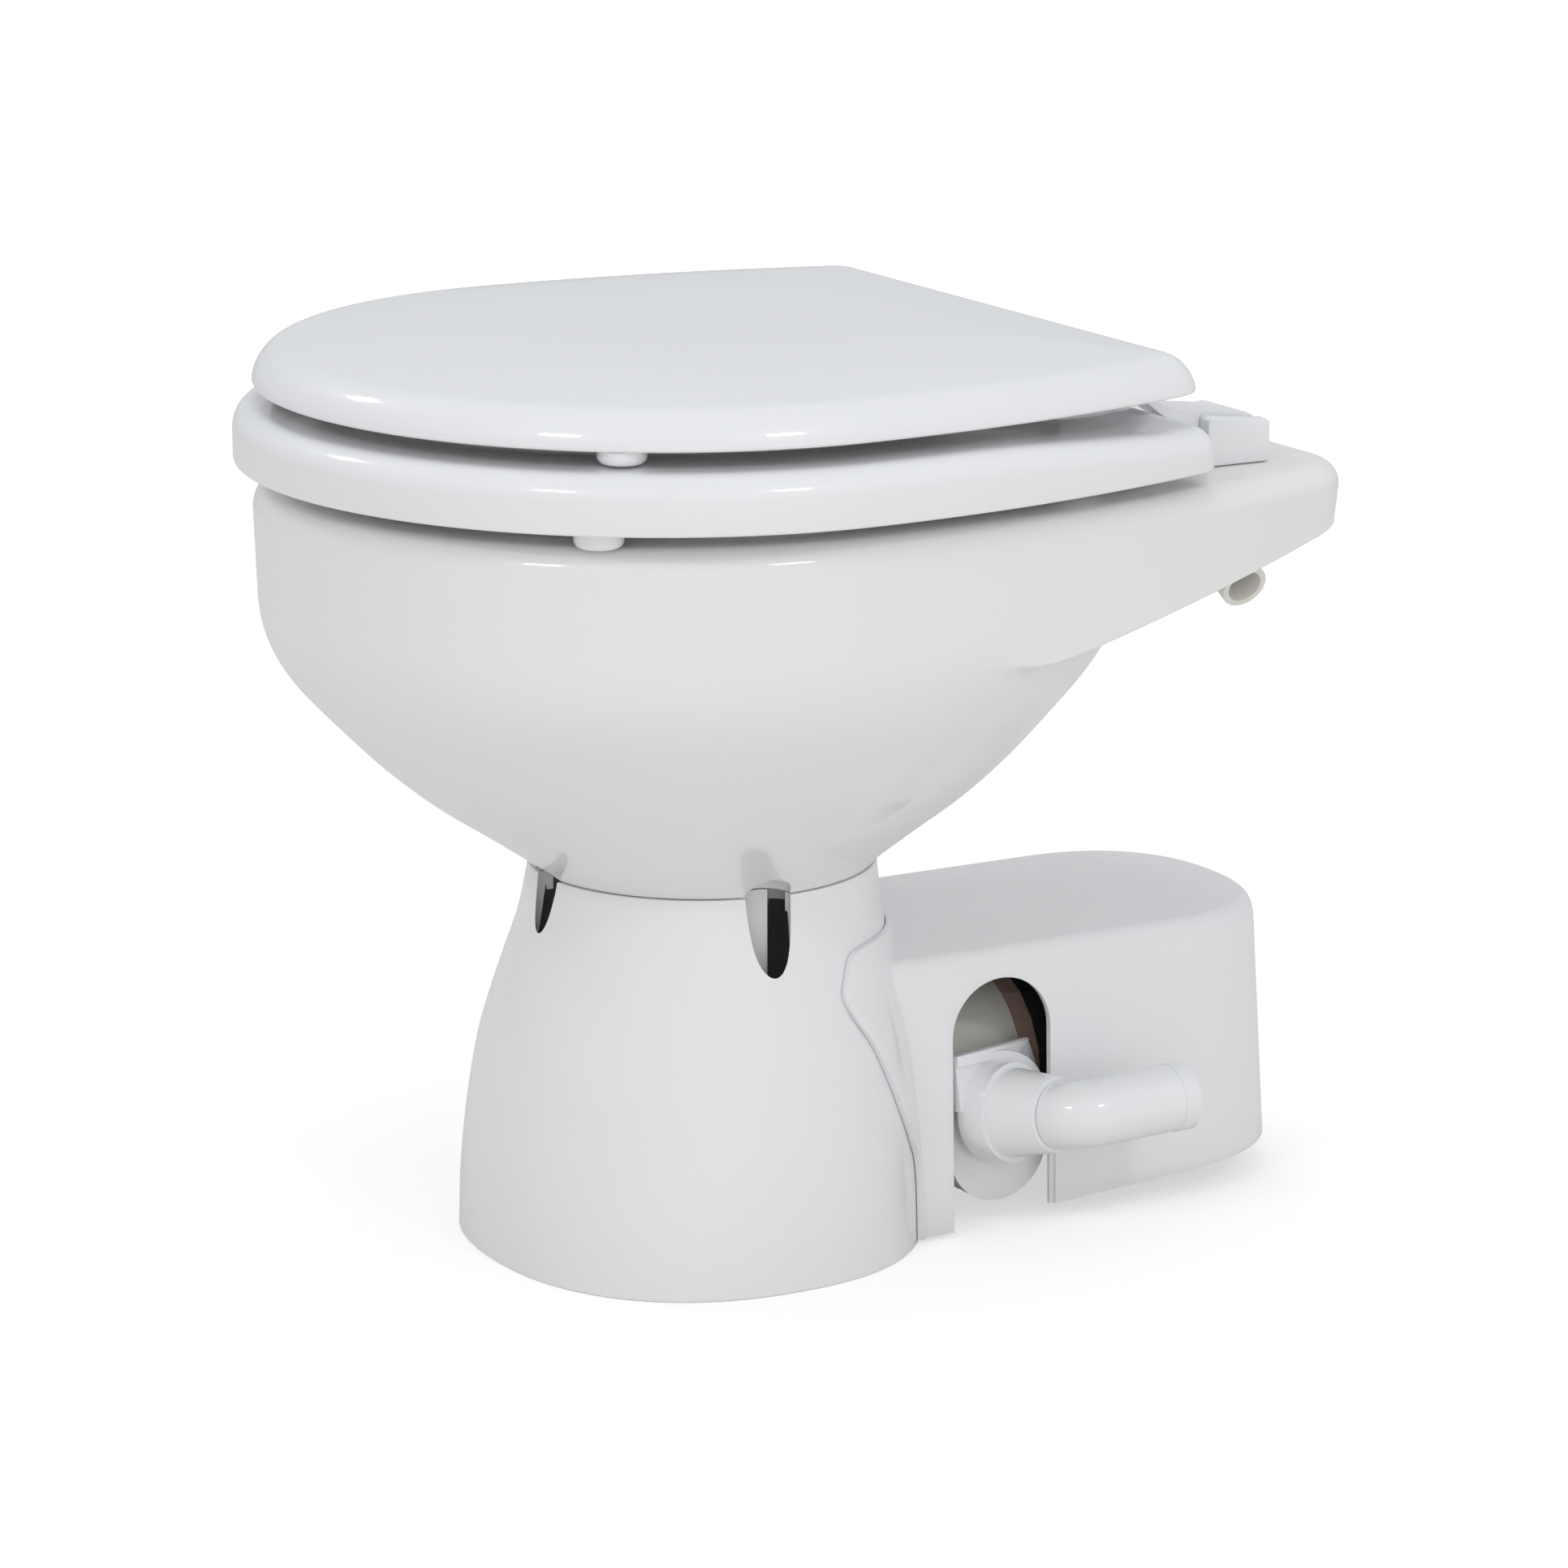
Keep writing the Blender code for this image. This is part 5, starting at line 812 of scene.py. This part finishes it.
def make_pedestal():
    fine = smooth_table(PEDESTAL_SHARES)
    outer = [pedestal_ring(0.0, 1.0, -EDGE / 2, 0.0), pedestal_ring(0.0, 1.0, 0.0, EDGE / 2)]
    outer += [pedestal_ring(share, spread) for share, spread in fine[1:-1]]
    lip_top = FOOT_BOTTOM - LIP_GAP
    outer += [pedestal_ring(1.0, 0.0, -LIP_ROUND * (1 - math.cos(a)), lip_top - LIP_ROUND * (1 - math.sin(a)))
              for a in turns(QUARTER, BREAK_STEPS)]
    inner = [pedestal_ring(share, spread, -PEDESTAL_WALL) for share, spread in fine[:-1]]
    plate_low = PEDESTAL_TOP - PEDESTAL_TOP_PLATE
    ceiling = pedestal_ring(1.0, 0.0, -PEDESTAL_WALL, plate_low)

    def hole_ring(radius, z):
        return [Vector((radius * math.cos(a), FOOT_CENTRE + radius * math.sin(a), z))
                for a in circle(PEDESTAL_POINTS)]

    hole = BEND_RADIUS + SLIDE
    rings = outer + [hole_ring(LIP_INNER, lip_top), hole_ring(LIP_INNER, PEDESTAL_TOP),
                     hole_ring(hole, PEDESTAL_TOP), hole_ring(hole, plate_low), ceiling]
    rings += reversed(inner)
    pedestal = new_object("pedestal_shell", loft("pedestal_shell", rings, wrap=True))
    # Round walls behind the wells go on from the bowl's scallops, and slots beside them open to the bolts
    carve(pedestal, well_sectors(SHIELD_THICKNESS, SHIELD_TURNS, FOOT_BOTTOM - LIP_GAP - TOUCH), "UNION")
    carve(pedestal, well_meshes() + well_sectors(SLOT_DEPTH, SLOT_TURNS, FOOT_BOTTOM + OVERRUN))
    carve(pedestal, [box_mesh("pump_pad", (-PAD_HALF_WIDTH, PAD_FRONT, PAD_BOTTOM),
                              (PAD_HALF_WIDTH, PAD_REAR, PAD_TOP))], "UNION")
    cutters = [rod_mesh("pump_hole", PUMP_RADIUS + SLIDE, (0, PAD_FRONT - OVERRUN, PUMP_Z),
                        (0, PAD_REAR + OVERRUN, PUMP_Z), ROUND_STEPS)]
    for x, y in foot_places(BOLT_SIDE_REACH, BOLT_END_REACH):
        cutters.append(upright("bolt_hole", BOLT_RADIUS + SLIDE, x, y,
                               plate_low - OVERRUN, PEDESTAL_TOP + OVERRUN))
        cutters.append(upright("washer_room", BOLT_WASHER_RADIUS + SLIDE, x, y,
                               plate_low - 2 * OVERRUN, plate_low))
    carve(pedestal, cutters)
    soften(pedestal, WELL_EDGE, angle=50)
    dress(pedestal, "plastic", "toilet", "pedestal")


def cover_ring(height, inset):
    """The cover's plan: square in front, inside the pedestal, and a rounded D at the back."""
    share = height / COVER_TOP
    half = blend(COVER_HALF_WIDTH, COVER_TOP_HALF_WIDTH, share) - inset
    rear = blend(COVER_REAR, COVER_TOP_REAR, share) - inset
    start = rear - half
    power = 2 / COVER_POWER
    side = [blend(COVER_FRONT, start, i / COVER_SIDE_STEPS) for i in range(COVER_SIDE_STEPS)]
    flat = [(half, y) for y in side]
    for a in turns(math.pi, COVER_BACK_STEPS):
        x = math.copysign(abs(math.cos(a)) ** power, math.cos(a)) * half
        flat.append((x, start + math.sin(a) ** power * half))
    flat += [(-half, y) for y in reversed(side)]
    return at_height(flat, height)


def cover_body(name, bottom, top, inset):
    """The cover's outside, or its hollow, with the soft shoulder between side and top."""
    shoulder = top - COVER_ROUNDING
    rings = [cover_ring(blend(bottom, shoulder, i / COVER_RISE_STEPS), inset)
             for i in range(COVER_RISE_STEPS)]
    middle = COVER_TOP_HALF_WIDTH / 2 / COVER_ROUNDING
    for inward, down in smooth_table((*SHOULDER_SHARES, (middle, 0.0))):
        level = top - COVER_ROUNDING * max(down, 0.0)
        rings.append(cover_ring(level, inset + COVER_ROUNDING * max(inward, 0.0)))
    return loft(name, rings)


def flange_mesh(sign):
    """The wave-edged flange that wraps the pedestal, as arcs on its skin from bottom to top."""
    fine = smooth_table(PEDESTAL_SHARES)
    rings = []
    for height, reach in smooth_table(FLANGE_SHARES):
        edge = FLANGE_REACH * reach
        outer, inner = [], []
        level = blend(COVER_BOTTOM, COVER_TOP + COLLAR_HEIGHT, height) / PEDESTAL_TOP
        spread = lookup(fine, level)
        for i in range(FLANGE_STEPS + 1):
            turn = blend(FLANGE_ROOT, edge, i / FLANGE_STEPS)
            for row, grow in ((outer, FLANGE_THICKNESS + TOUCH), (inner, -PEDESTAL_WALL / 2)):
                point = pedestal_point(level, QUARTER - turn, spread, grow)
                row.append(Vector((sign * point.x, point.y, point.z)))
        rings.append(outer + inner[::-1])
    return loft("flange", rings)


def arch_mesh(shift, near, far):
    radius = (ARCH_REAR - ARCH_FRONT) / 2
    middle = (ARCH_REAR + ARCH_FRONT) / 2 + shift
    outline = [(middle - radius, -OVERRUN), (middle + radius, -OVERRUN)]
    outline += [(middle + radius * math.cos(a), ARCH_TOP - radius + radius * math.sin(a))
                for a in turns(math.pi, ARCH_STEPS)]
    return plate_mesh("arch", outline, near, far)


def make_cover():
    cover = new_object("cover_shell", cover_body("cover_shell", COVER_BOTTOM, COVER_TOP, 0.0))
    carve(cover, [flange_mesh(sign) for _, sign in SIDES], "UNION")
    carve(cover, [cover_body("hollow", -OVERRUN, COVER_TOP - COVER_WALL, COVER_WALL)])
    fine = smooth_table(PEDESTAL_SHARES)
    clear = [pedestal_ring(share, spread, TOUCH) for share, spread in fine]
    below = pedestal_ring(0.0, 1.0, TOUCH, -OVERRUN)
    above = pedestal_ring(1.0, 0.0, TOUCH, PEDESTAL_TOP + OVERRUN)
    back = COVER_REAR + OVERRUN
    middle = (ARCH_FRONT + ARCH_REAR) / 2
    lift = [(middle, -OVERRUN), (back, -OVERRUN), (back, COVER_BACK_BOTTOM + (back - ARCH_REAR) * LIFT_SLOPE),
            (ARCH_REAR, COVER_BACK_BOTTOM), (middle, COVER_BACK_BOTTOM)]
    out = COVER_HALF_WIDTH + OVERRUN
    carve(cover, [loft("pedestal_space", [below] + clear + [above]),
                  arch_mesh(0.0, COVER_HALF_WIDTH / 2, out),
                  arch_mesh(ARCH_REBATE, COVER_HALF_WIDTH - COVER_WALL / 2 - TOUCH, out),
                  plate_mesh("lift", lift, -back, back)])
    soften(cover, COVER_EDGE, angle=50)
    dress(cover, "plastic", "toilet", "motor_cover")


def seat_outline(inset):
    return plan_outline(SEAT_HALF_WIDTH, SEAT_FRONT, SEAT_WIDEST, SEAT_REAR, SEAT_REAR_HALF_WIDTH,
                        SEAT_CORNER * CORNER_SHARE, inset)


def hole_outline(grow):
    return plan_outline(HOLE_HALF_WIDTH, HOLE_FRONT, HOLE_WIDEST, HOLE_REAR, HOLE_REAR_HALF_WIDTH,
                        HOLE_CORNER, -grow)


def seat_level(x, y):
    return blend(SEAT_TOP, SEAT_TOP_REAR, smooth_step((y - SEAT_FALL) / (SEAT_REAR - SEAT_FALL)))


def make_seat():
    outside, inside = seat_outline(SEAT_ROUNDING), hole_outline(HOLE_ROUNDING)
    rings = [at_height(seat_outline(EDGE * (1 - math.cos(a))), SEAT_BOTTOM + EDGE * (1 - math.sin(a)))
             for a in reversed(turns(QUARTER, BREAK_STEPS))]
    rings += rounding(seat_outline, SEAT_ROUNDING, seat_level, ROUNDING_STEPS)
    for i in range(1, SEAT_TOP_STEPS):
        share = i / SEAT_TOP_STEPS
        flat = [(blend(ax, bx, share), blend(ay, by, share)) for (ax, ay), (bx, by) in zip(outside, inside)]
        crown = SEAT_CROWN * math.sin(math.pi * share)
        rings.append(at_height(flat, lambda x, y, c=crown: seat_level(x, y) + c))
    rings += reversed(rounding(hole_outline, HOLE_ROUNDING, seat_level, HOLE_STEPS))
    rings.append(at_height(hole_outline(0.0), SEAT_BOTTOM + EDGE))
    rings.append(at_height(hole_outline(EDGE), SEAT_BOTTOM))
    seat = new_object("seat_ring", loft("seat_ring", rings, wrap=True))
    dress(seat, "plastic", "seat", "seat")


def lid_outline(inset):
    return plan_outline(SEAT_HALF_WIDTH - LID_MARGIN, SEAT_FRONT + LID_MARGIN, SEAT_WIDEST, LID_REAR,
                        LID_REAR_HALF_WIDTH, LID_CORNER * CORNER_SHARE, inset)


def make_lid():
    """The lid from the middle of its underside, over its lip and side, to the middle of its crown."""
    ceiling = LID_BOTTOM + LID_RECESS
    inner_side = LID_LIP + LID_RECESS / 3
    rings = []
    for i in range(LID_CEILING_STEPS, 0, -1):
        share = i / LID_CEILING_STEPS
        level = ceiling + LID_CROWN * LID_CEILING_SHARE * math.sin(share * QUARTER)
        rings.append(at_height(lid_outline(blend(inner_side, LID_CROWN_REACH, share)), level))
    for inset, level in ((inner_side + EDGE, ceiling), (inner_side, ceiling - EDGE),
                         (LID_LIP + EDGE / 3, LID_BOTTOM + EDGE / 3), (LID_LIP, LID_BOTTOM),
                         (EDGE, LID_BOTTOM), (EDGE / 3, LID_BOTTOM + EDGE / 3)):
        rings.append(at_height(lid_outline(inset), level))
    for i in range(LID_SIDE_STEPS + 1):
        share = i / LID_SIDE_STEPS
        rise = (LID_SIDE_HEIGHT - EDGE) * math.sin(share * LID_SIDE_TURN) / math.sin(LID_SIDE_TURN)
        inset = LID_SIDE_INSET * share ** LID_SIDE_POWER
        rings.append(at_height(lid_outline(inset), LID_BOTTOM + EDGE + rise))
    for share in LID_CROWN_SHARES:
        level = LID_BOTTOM + LID_SIDE_HEIGHT + LID_CROWN * (1 - (1 - share) ** LID_CROWN_POWER)
        rings.append(at_height(lid_outline(blend(LID_SIDE_INSET, LID_CROWN_REACH, share)), level))
    lid = new_object("lid_shell", loft("lid_shell", rings))
    for _, sign in SIDES:
        inner, outer = span(sign, LID_ARM_INNER, LID_ARM_INNER + ARM_WIDTH)
        carve(lid, [box_mesh("lid_pad", (inner, HINGE_Y - LID_PAD_FAR, LID_BOTTOM),
                             (outer, HINGE_Y - LID_PAD_NEAR, ceiling + EDGE))], "UNION")
    dress(lid, "plastic", "lid", "lid")


def make_buffers():
    """Soft domes with a peg, under the seat and under the lid, where the frame has them."""
    round_off = BUFFER_RADIUS / 3
    for node in [f"seat_buffer_{i}" for i in range(1, 5)] + ["lid_buffer_right", "lid_buffer_left"]:
        low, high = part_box(node)
        body = node.split("_")[0]
        face = (SEAT_BOTTOM if body == "seat" else LID_BOTTOM) - TOUCH
        profile = [(0, high.z), (PEG_RADIUS, high.z), (PEG_RADIUS, face), (BUFFER_RADIUS, face)]
        profile += [(BUFFER_RADIUS - round_off * (1 - math.cos(a)), low.z + round_off * (1 - math.sin(a)))
                    for a in turns(QUARTER, EDGE_STEPS)]
        profile.append((0, low.z))
        centre = ((low.x + high.x) / 2, (low.y + high.y) / 2 - SHIFT, 0)
        item = new_object(f"{node}_dome", turned_mesh(node, profile, centre, UP, BUFFER_STEPS))
        dress(item, "plastic", body, node)


def port_direction():
    level = math.cos(PORT_RISE)
    return Vector((level * math.cos(PORT_YAW), level * math.sin(PORT_YAW), math.sin(PORT_RISE)))


def port_place(reach):
    return Vector((PORT_X, PORT_Y, PORT_Z)) + port_direction() * reach


def make_posts():
    """The hinge posts: a base with two ears, whose pin holes end just inside the outer faces."""
    base_low = RIM_TOP + TOUCH
    base_high = base_low + POST_BASE
    top = RIM_TOP + POST_HEIGHT
    stud_y = HINGE_Y - STUD_FORWARD
    outline = [(POST_FRONT, base_low), (POST_REAR, base_low), (POST_REAR, top - POST_FALL - EDGE),
               (POST_REAR - EDGE, top - POST_FALL), (POST_FRONT + EDGE, top), (POST_FRONT, top - EDGE)]
    inner, outer = HINGE_X - POST_HALF_WIDTH, HINGE_X + POST_HALF_WIDTH
    for side, sign in SIDES:
        post = new_object(f"post_{side}", plate_mesh("post", outline, *span(sign, inner, outer)))
        slot_low, slot_high = span(sign, inner + EAR_THICKNESS, outer - EAR_THICKNESS)
        carve(post, [box_mesh("slot", (slot_low, POST_FRONT - OVERRUN, base_high),
                              (slot_high, POST_REAR + OVERRUN, top + OVERRUN))])
        soften(post, POST_EDGE, segments=3)
        x = sign * HINGE_X
        near, far = span(sign, inner - OVERRUN, outer - EDGE / 2 + TOUCH)
        carve(post, [rod_mesh("pin_bore", PIN_RADIUS + TOUCH, (near, HINGE_Y, HINGE_Z),
                              (far, HINGE_Y, HINGE_Z)),
                     upright("stud_bore", STUD_RADIUS + TOUCH, x, stud_y,
                             base_low - OVERRUN, base_high + OVERRUN),
                     upright("stud_sink", STUD_HEAD_RADIUS + TOUCH, x, stud_y,
                             base_high - STUD_HEAD - 2 * TOUCH, base_high + TOUCH)])
        shade(post.data)
        dress(post, "plastic", "toilet", f"hinge_post_{side}")


def hood_mesh(outline, near, far):
    """A plate square to the port's axis; the outline runs sideways and up from that axis."""
    side = Vector((-math.sin(PORT_YAW), math.cos(PORT_YAW), 0))
    up = port_direction().cross(side)
    return loft("hood", [[port_place(reach) + side * across + up * rise for across, rise in outline]
                         for reach in (near, far)])


def make_port():
    """The stadium plate on the pump, and the leaning disc and collar that carry the elbow."""
    inner = BLOCK_OUT + TOUCH
    arc = turns(math.pi, PLATE_STEPS)
    outline = [(PORT_Y + PLATE_RADIUS * math.cos(a), PORT_Z + PLATE_RADIUS * math.sin(a)) for a in arc]
    outline += [(PORT_Y - PLATE_RADIUS * math.cos(a), PLATE_LOW_Z - PLATE_RADIUS * math.sin(a)) for a in arc]
    port = new_object("port_plate", plate_mesh("port_plate", outline, inner, inner + PLATE_THICKNESS))
    profile = [(0, COLLAR_LENGTH), (STUB_RADIUS, COLLAR_LENGTH), (COLLAR_RADIUS, 0), (DISC_RADIUS, 0),
               (DISC_RADIUS, -DISC_THICKNESS), (0, -DISC_THICKNESS)]
    carve(port, [turned_mesh("collar", profile, port_place(0), port_direction())], "UNION")
    carve(port, [box_mesh("port_back", (0, PORT_Y - 2 * PLATE_RADIUS, -OVERRUN),
                          (inner, PORT_Y + 2 * PLATE_RADIUS, BLOCK_TOP))])
    carve(port, [hood_mesh(HOOD_PLATE, HOOD_NEAR, HOOD_FAR),
                 hood_mesh(HOOD_RIDGE, HOOD_NEAR + TOUCH, HOOD_LIP)], "UNION")
    soften(port, PORT_EDGE, segments=3, angle=25)
    dress(port, "plastic", "toilet", "discharge_port")


def make_elbow():
    """The discharge elbow, with the ring round its end."""
    corner = port_place(ELBOW_REACH)
    end = Vector((corner.x, ELBOW_END, ELBOW_Z_END))
    run = (end - corner).normalized()
    route = bend(port_place(COLLAR_LENGTH + TOUCH), corner, end, ELBOW_BEND)
    elbow = new_object("elbow_pipe", tube_mesh("elbow_pipe", route, ELBOW_RADIUS, ELBOW_STEPS))
    carve(elbow, [rod_mesh("ring", ELBOW_RING_RADIUS - RING_TRIM, end - run * ELBOW_RING_LENGTH,
                           end + run * TOUCH, ELBOW_STEPS)], "UNION")
    carve(elbow, [tube_mesh("bore", lengthened(route), ELBOW_BORE, ELBOW_STEPS)])
    soften(elbow, ELBOW_EDGE, segments=3, angle=35)
    dress(elbow, "plastic", "toilet", "discharge_elbow")


def make_pump():
    """The pump body's skin, with the block that carries the port."""
    flange_front = PAD_REAR + TOUCH
    flange_rear = flange_front + PUMP_FLANGE
    nozzle = PUMP_FRONT - INLET_LENGTH
    profile = [(PUMP_RADIUS, PUMP_REAR), (PUMP_RADIUS, flange_rear), (PUMP_FLANGE_RADIUS, flange_rear),
               (PUMP_FLANGE_RADIUS, flange_front), (PUMP_RADIUS, flange_front), (PUMP_RADIUS, PUMP_FRONT),
               (INLET_RADIUS, PUMP_FRONT), (INLET_RADIUS, nozzle), (DRAIN_RADIUS, nozzle),
               (DRAIN_RADIUS, PUMP_REAR)]
    pump = new_object("pump_casing", turned_mesh("pump_casing", profile, (0, 0, PUMP_Z), (0, 1, 0)))
    block = box_mesh("block", (BLOCK_IN, BLOCK_FRONT, BLOCK_BOTTOM), (BLOCK_OUT, BLOCK_REAR, HOOD_FOOT))
    carve(pump, [block], "UNION")
    soften(pump, FINE_EDGE)
    dress(pump, "cream", "toilet", "pump_body")


def make_inlet():
    """The flush inlet: a grommet in the deck's socket, and the elbow that hangs from it."""
    lip_top = deck_seat(INLET_X, INLET_Y, GROMMET_RADIUS)
    top = lip_top + SOCKET_DEPTH - TOUCH
    body = GROMMET_RADIUS - GROMMET_LIP
    bore = INLET_PIPE_RADIUS + TOUCH
    profile = [(body, top), (body, lip_top), (GROMMET_RADIUS, lip_top),
               (GROMMET_RADIUS, lip_top - GROMMET_LIP), (bore, lip_top - GROMMET_LIP), (bore, top)]
    grommet = new_object("inlet_ring", turned_mesh("inlet_ring", profile, (INLET_X, INLET_Y, 0), UP))
    soften(grommet, FINE_EDGE)
    dress(grommet, "cream", "toilet", "inlet_grommet")
    corner = Vector((INLET_X, INLET_Y, lip_top - INLET_PIPE_DROP))
    mouth = corner + Vector((math.cos(INLET_PIPE_DIP), 0, -math.sin(INLET_PIPE_DIP))) * INLET_PIPE_END
    route = bend((INLET_X, INLET_Y, top - EDGE), corner, mouth, INLET_PIPE_TURN)
    pipe = new_object("inlet_pipe", tube_mesh("inlet_pipe", route, INLET_PIPE_RADIUS, INLET_STEPS))
    carve(pipe, [tube_mesh("bore", lengthened(route), INLET_PIPE_BORE, INLET_STEPS)])
    soften(pipe, FINE_EDGE)
    dress(pipe, "cream", "toilet", "inlet_elbow")


def dress_frame():
    """Materials for the CAD nodes that stay."""
    slots = {entry["node"]: entry["material_slot"] for entry in frame["record"]["subparts"]}
    for name, node in frame["nodes"].items():
        node.data.materials.clear()
        node.data.materials.append(LOOKS[slots[name]])


def make_camera():
    data = bpy.data.cameras.new("camera")
    data.sensor_width = SENSOR
    data.lens = CAMERA_LENS
    camera = new_object("camera", data)
    camera.location = CAMERA_PLACE
    look = Vector(CAMERA_TARGET) - Vector(CAMERA_PLACE)
    camera.rotation_euler = look.to_track_quat("-Z", "Y").to_euler()
    bpy.context.scene.camera = camera


def make_stage():
    """A pale floor that the camera sees almost white, with the object's soft shadow on it."""
    mesh = bpy.data.meshes.new("floor")
    bm = bmesh.new()
    bmesh.ops.create_grid(bm, x_segments=1, y_segments=1, size=FLOOR_SIZE)
    bm.to_mesh(mesh)
    bm.free()
    floor = new_object("floor", mesh)
    material = bpy.data.materials.new("floor")
    material.use_nodes = True
    nodes, links = material.node_tree.nodes, material.node_tree.links
    surface = nodes["Principled BSDF"]
    set_values(surface, {"Base Color": FLOOR_COLOUR, "Roughness": FLOOR_ROUGHNESS})
    glow = nodes.new("ShaderNodeEmission")
    place = nodes.new("ShaderNodeTexCoord")
    away = nodes.new("ShaderNodeVectorMath")
    away.operation = "LENGTH"
    rise = nodes.new("ShaderNodeMapRange")
    set_values(rise, {"From Min": GLOW_REACH[0], "From Max": GLOW_REACH[1],
                      "To Min": GLOW_STRENGTH[0], "To Max": GLOW_STRENGTH[1]})
    links.new(place.outputs["Object"], away.inputs[0])
    links.new(away.outputs["Value"], rise.inputs["Value"])
    links.new(rise.outputs["Result"], glow.inputs["Strength"])
    seen = nodes.new("ShaderNodeLightPath").outputs["Is Camera Ray"]
    share = nodes.new("ShaderNodeMath")
    share.operation = "MULTIPLY"
    share.inputs[1].default_value = GLOW_SHARE
    links.new(seen, share.inputs[0])
    mix_shaders(material.node_tree, share.outputs[0], surface, glow, nodes["Material Output"])
    floor.data.materials.append(material)


def mix_shaders(tree, factor, first, second, output):
    mix = tree.nodes.new("ShaderNodeMixShader")
    for source, socket in ((factor, 0), (first.outputs[0], 1), (second.outputs[0], 2)):
        tree.links.new(source, mix.inputs[socket])
    tree.links.new(mix.outputs[0], output.inputs["Surface"])


def make_world():
    """Soft light from all round, which the camera sees as plain white."""
    world = bpy.data.worlds.new("studio")
    bpy.context.scene.world = world
    world.use_nodes = True
    nodes = world.node_tree.nodes
    soft = nodes["Background"]
    set_values(soft, {"Color": WORLD_COLOUR, "Strength": WORLD_STRENGTH})
    white = nodes.new("ShaderNodeBackground")
    set_values(white, {"Color": (1, 1, 1, 1)})
    seen = nodes.new("ShaderNodeLightPath").outputs["Is Camera Ray"]
    mix_shaders(world.node_tree, seen, soft, white, nodes["World Output"])


def add_softbox(name, azimuth, elevation, distance, width, height, power, mirrored):
    """A soft lamp aimed at the object; azimuth turns from +X towards +Y."""
    data = bpy.data.lights.new(name, "AREA")
    data.shape = "RECTANGLE"
    data.size = width
    data.size_y = height
    data.energy = power
    lamp = new_object(name, data)
    a, e = math.radians(azimuth), math.radians(elevation)
    aim = Vector(LAMP_AIM)
    direction = Vector((math.cos(a) * math.cos(e), math.sin(a) * math.cos(e), math.sin(e)))
    lamp.location = aim + distance * direction
    lamp.rotation_euler = (aim - lamp.location).to_track_quat("-Z", "Y").to_euler()
    lamp.visible_glossy = mirrored


LOOKS = {row[0]: make_look(*row) for row in LOOK_ROWS}
make_bowl()
make_pedestal()
make_cover()
make_seat()
make_lid()
make_buffers()
make_posts()
make_port()
make_elbow()
make_pump()
make_inlet()
dress_frame()
make_camera()
make_stage()
make_world()
for row in LAMP_ROWS:
    add_softbox(*row)
bpy.context.scene.view_settings.view_transform = "Standard"
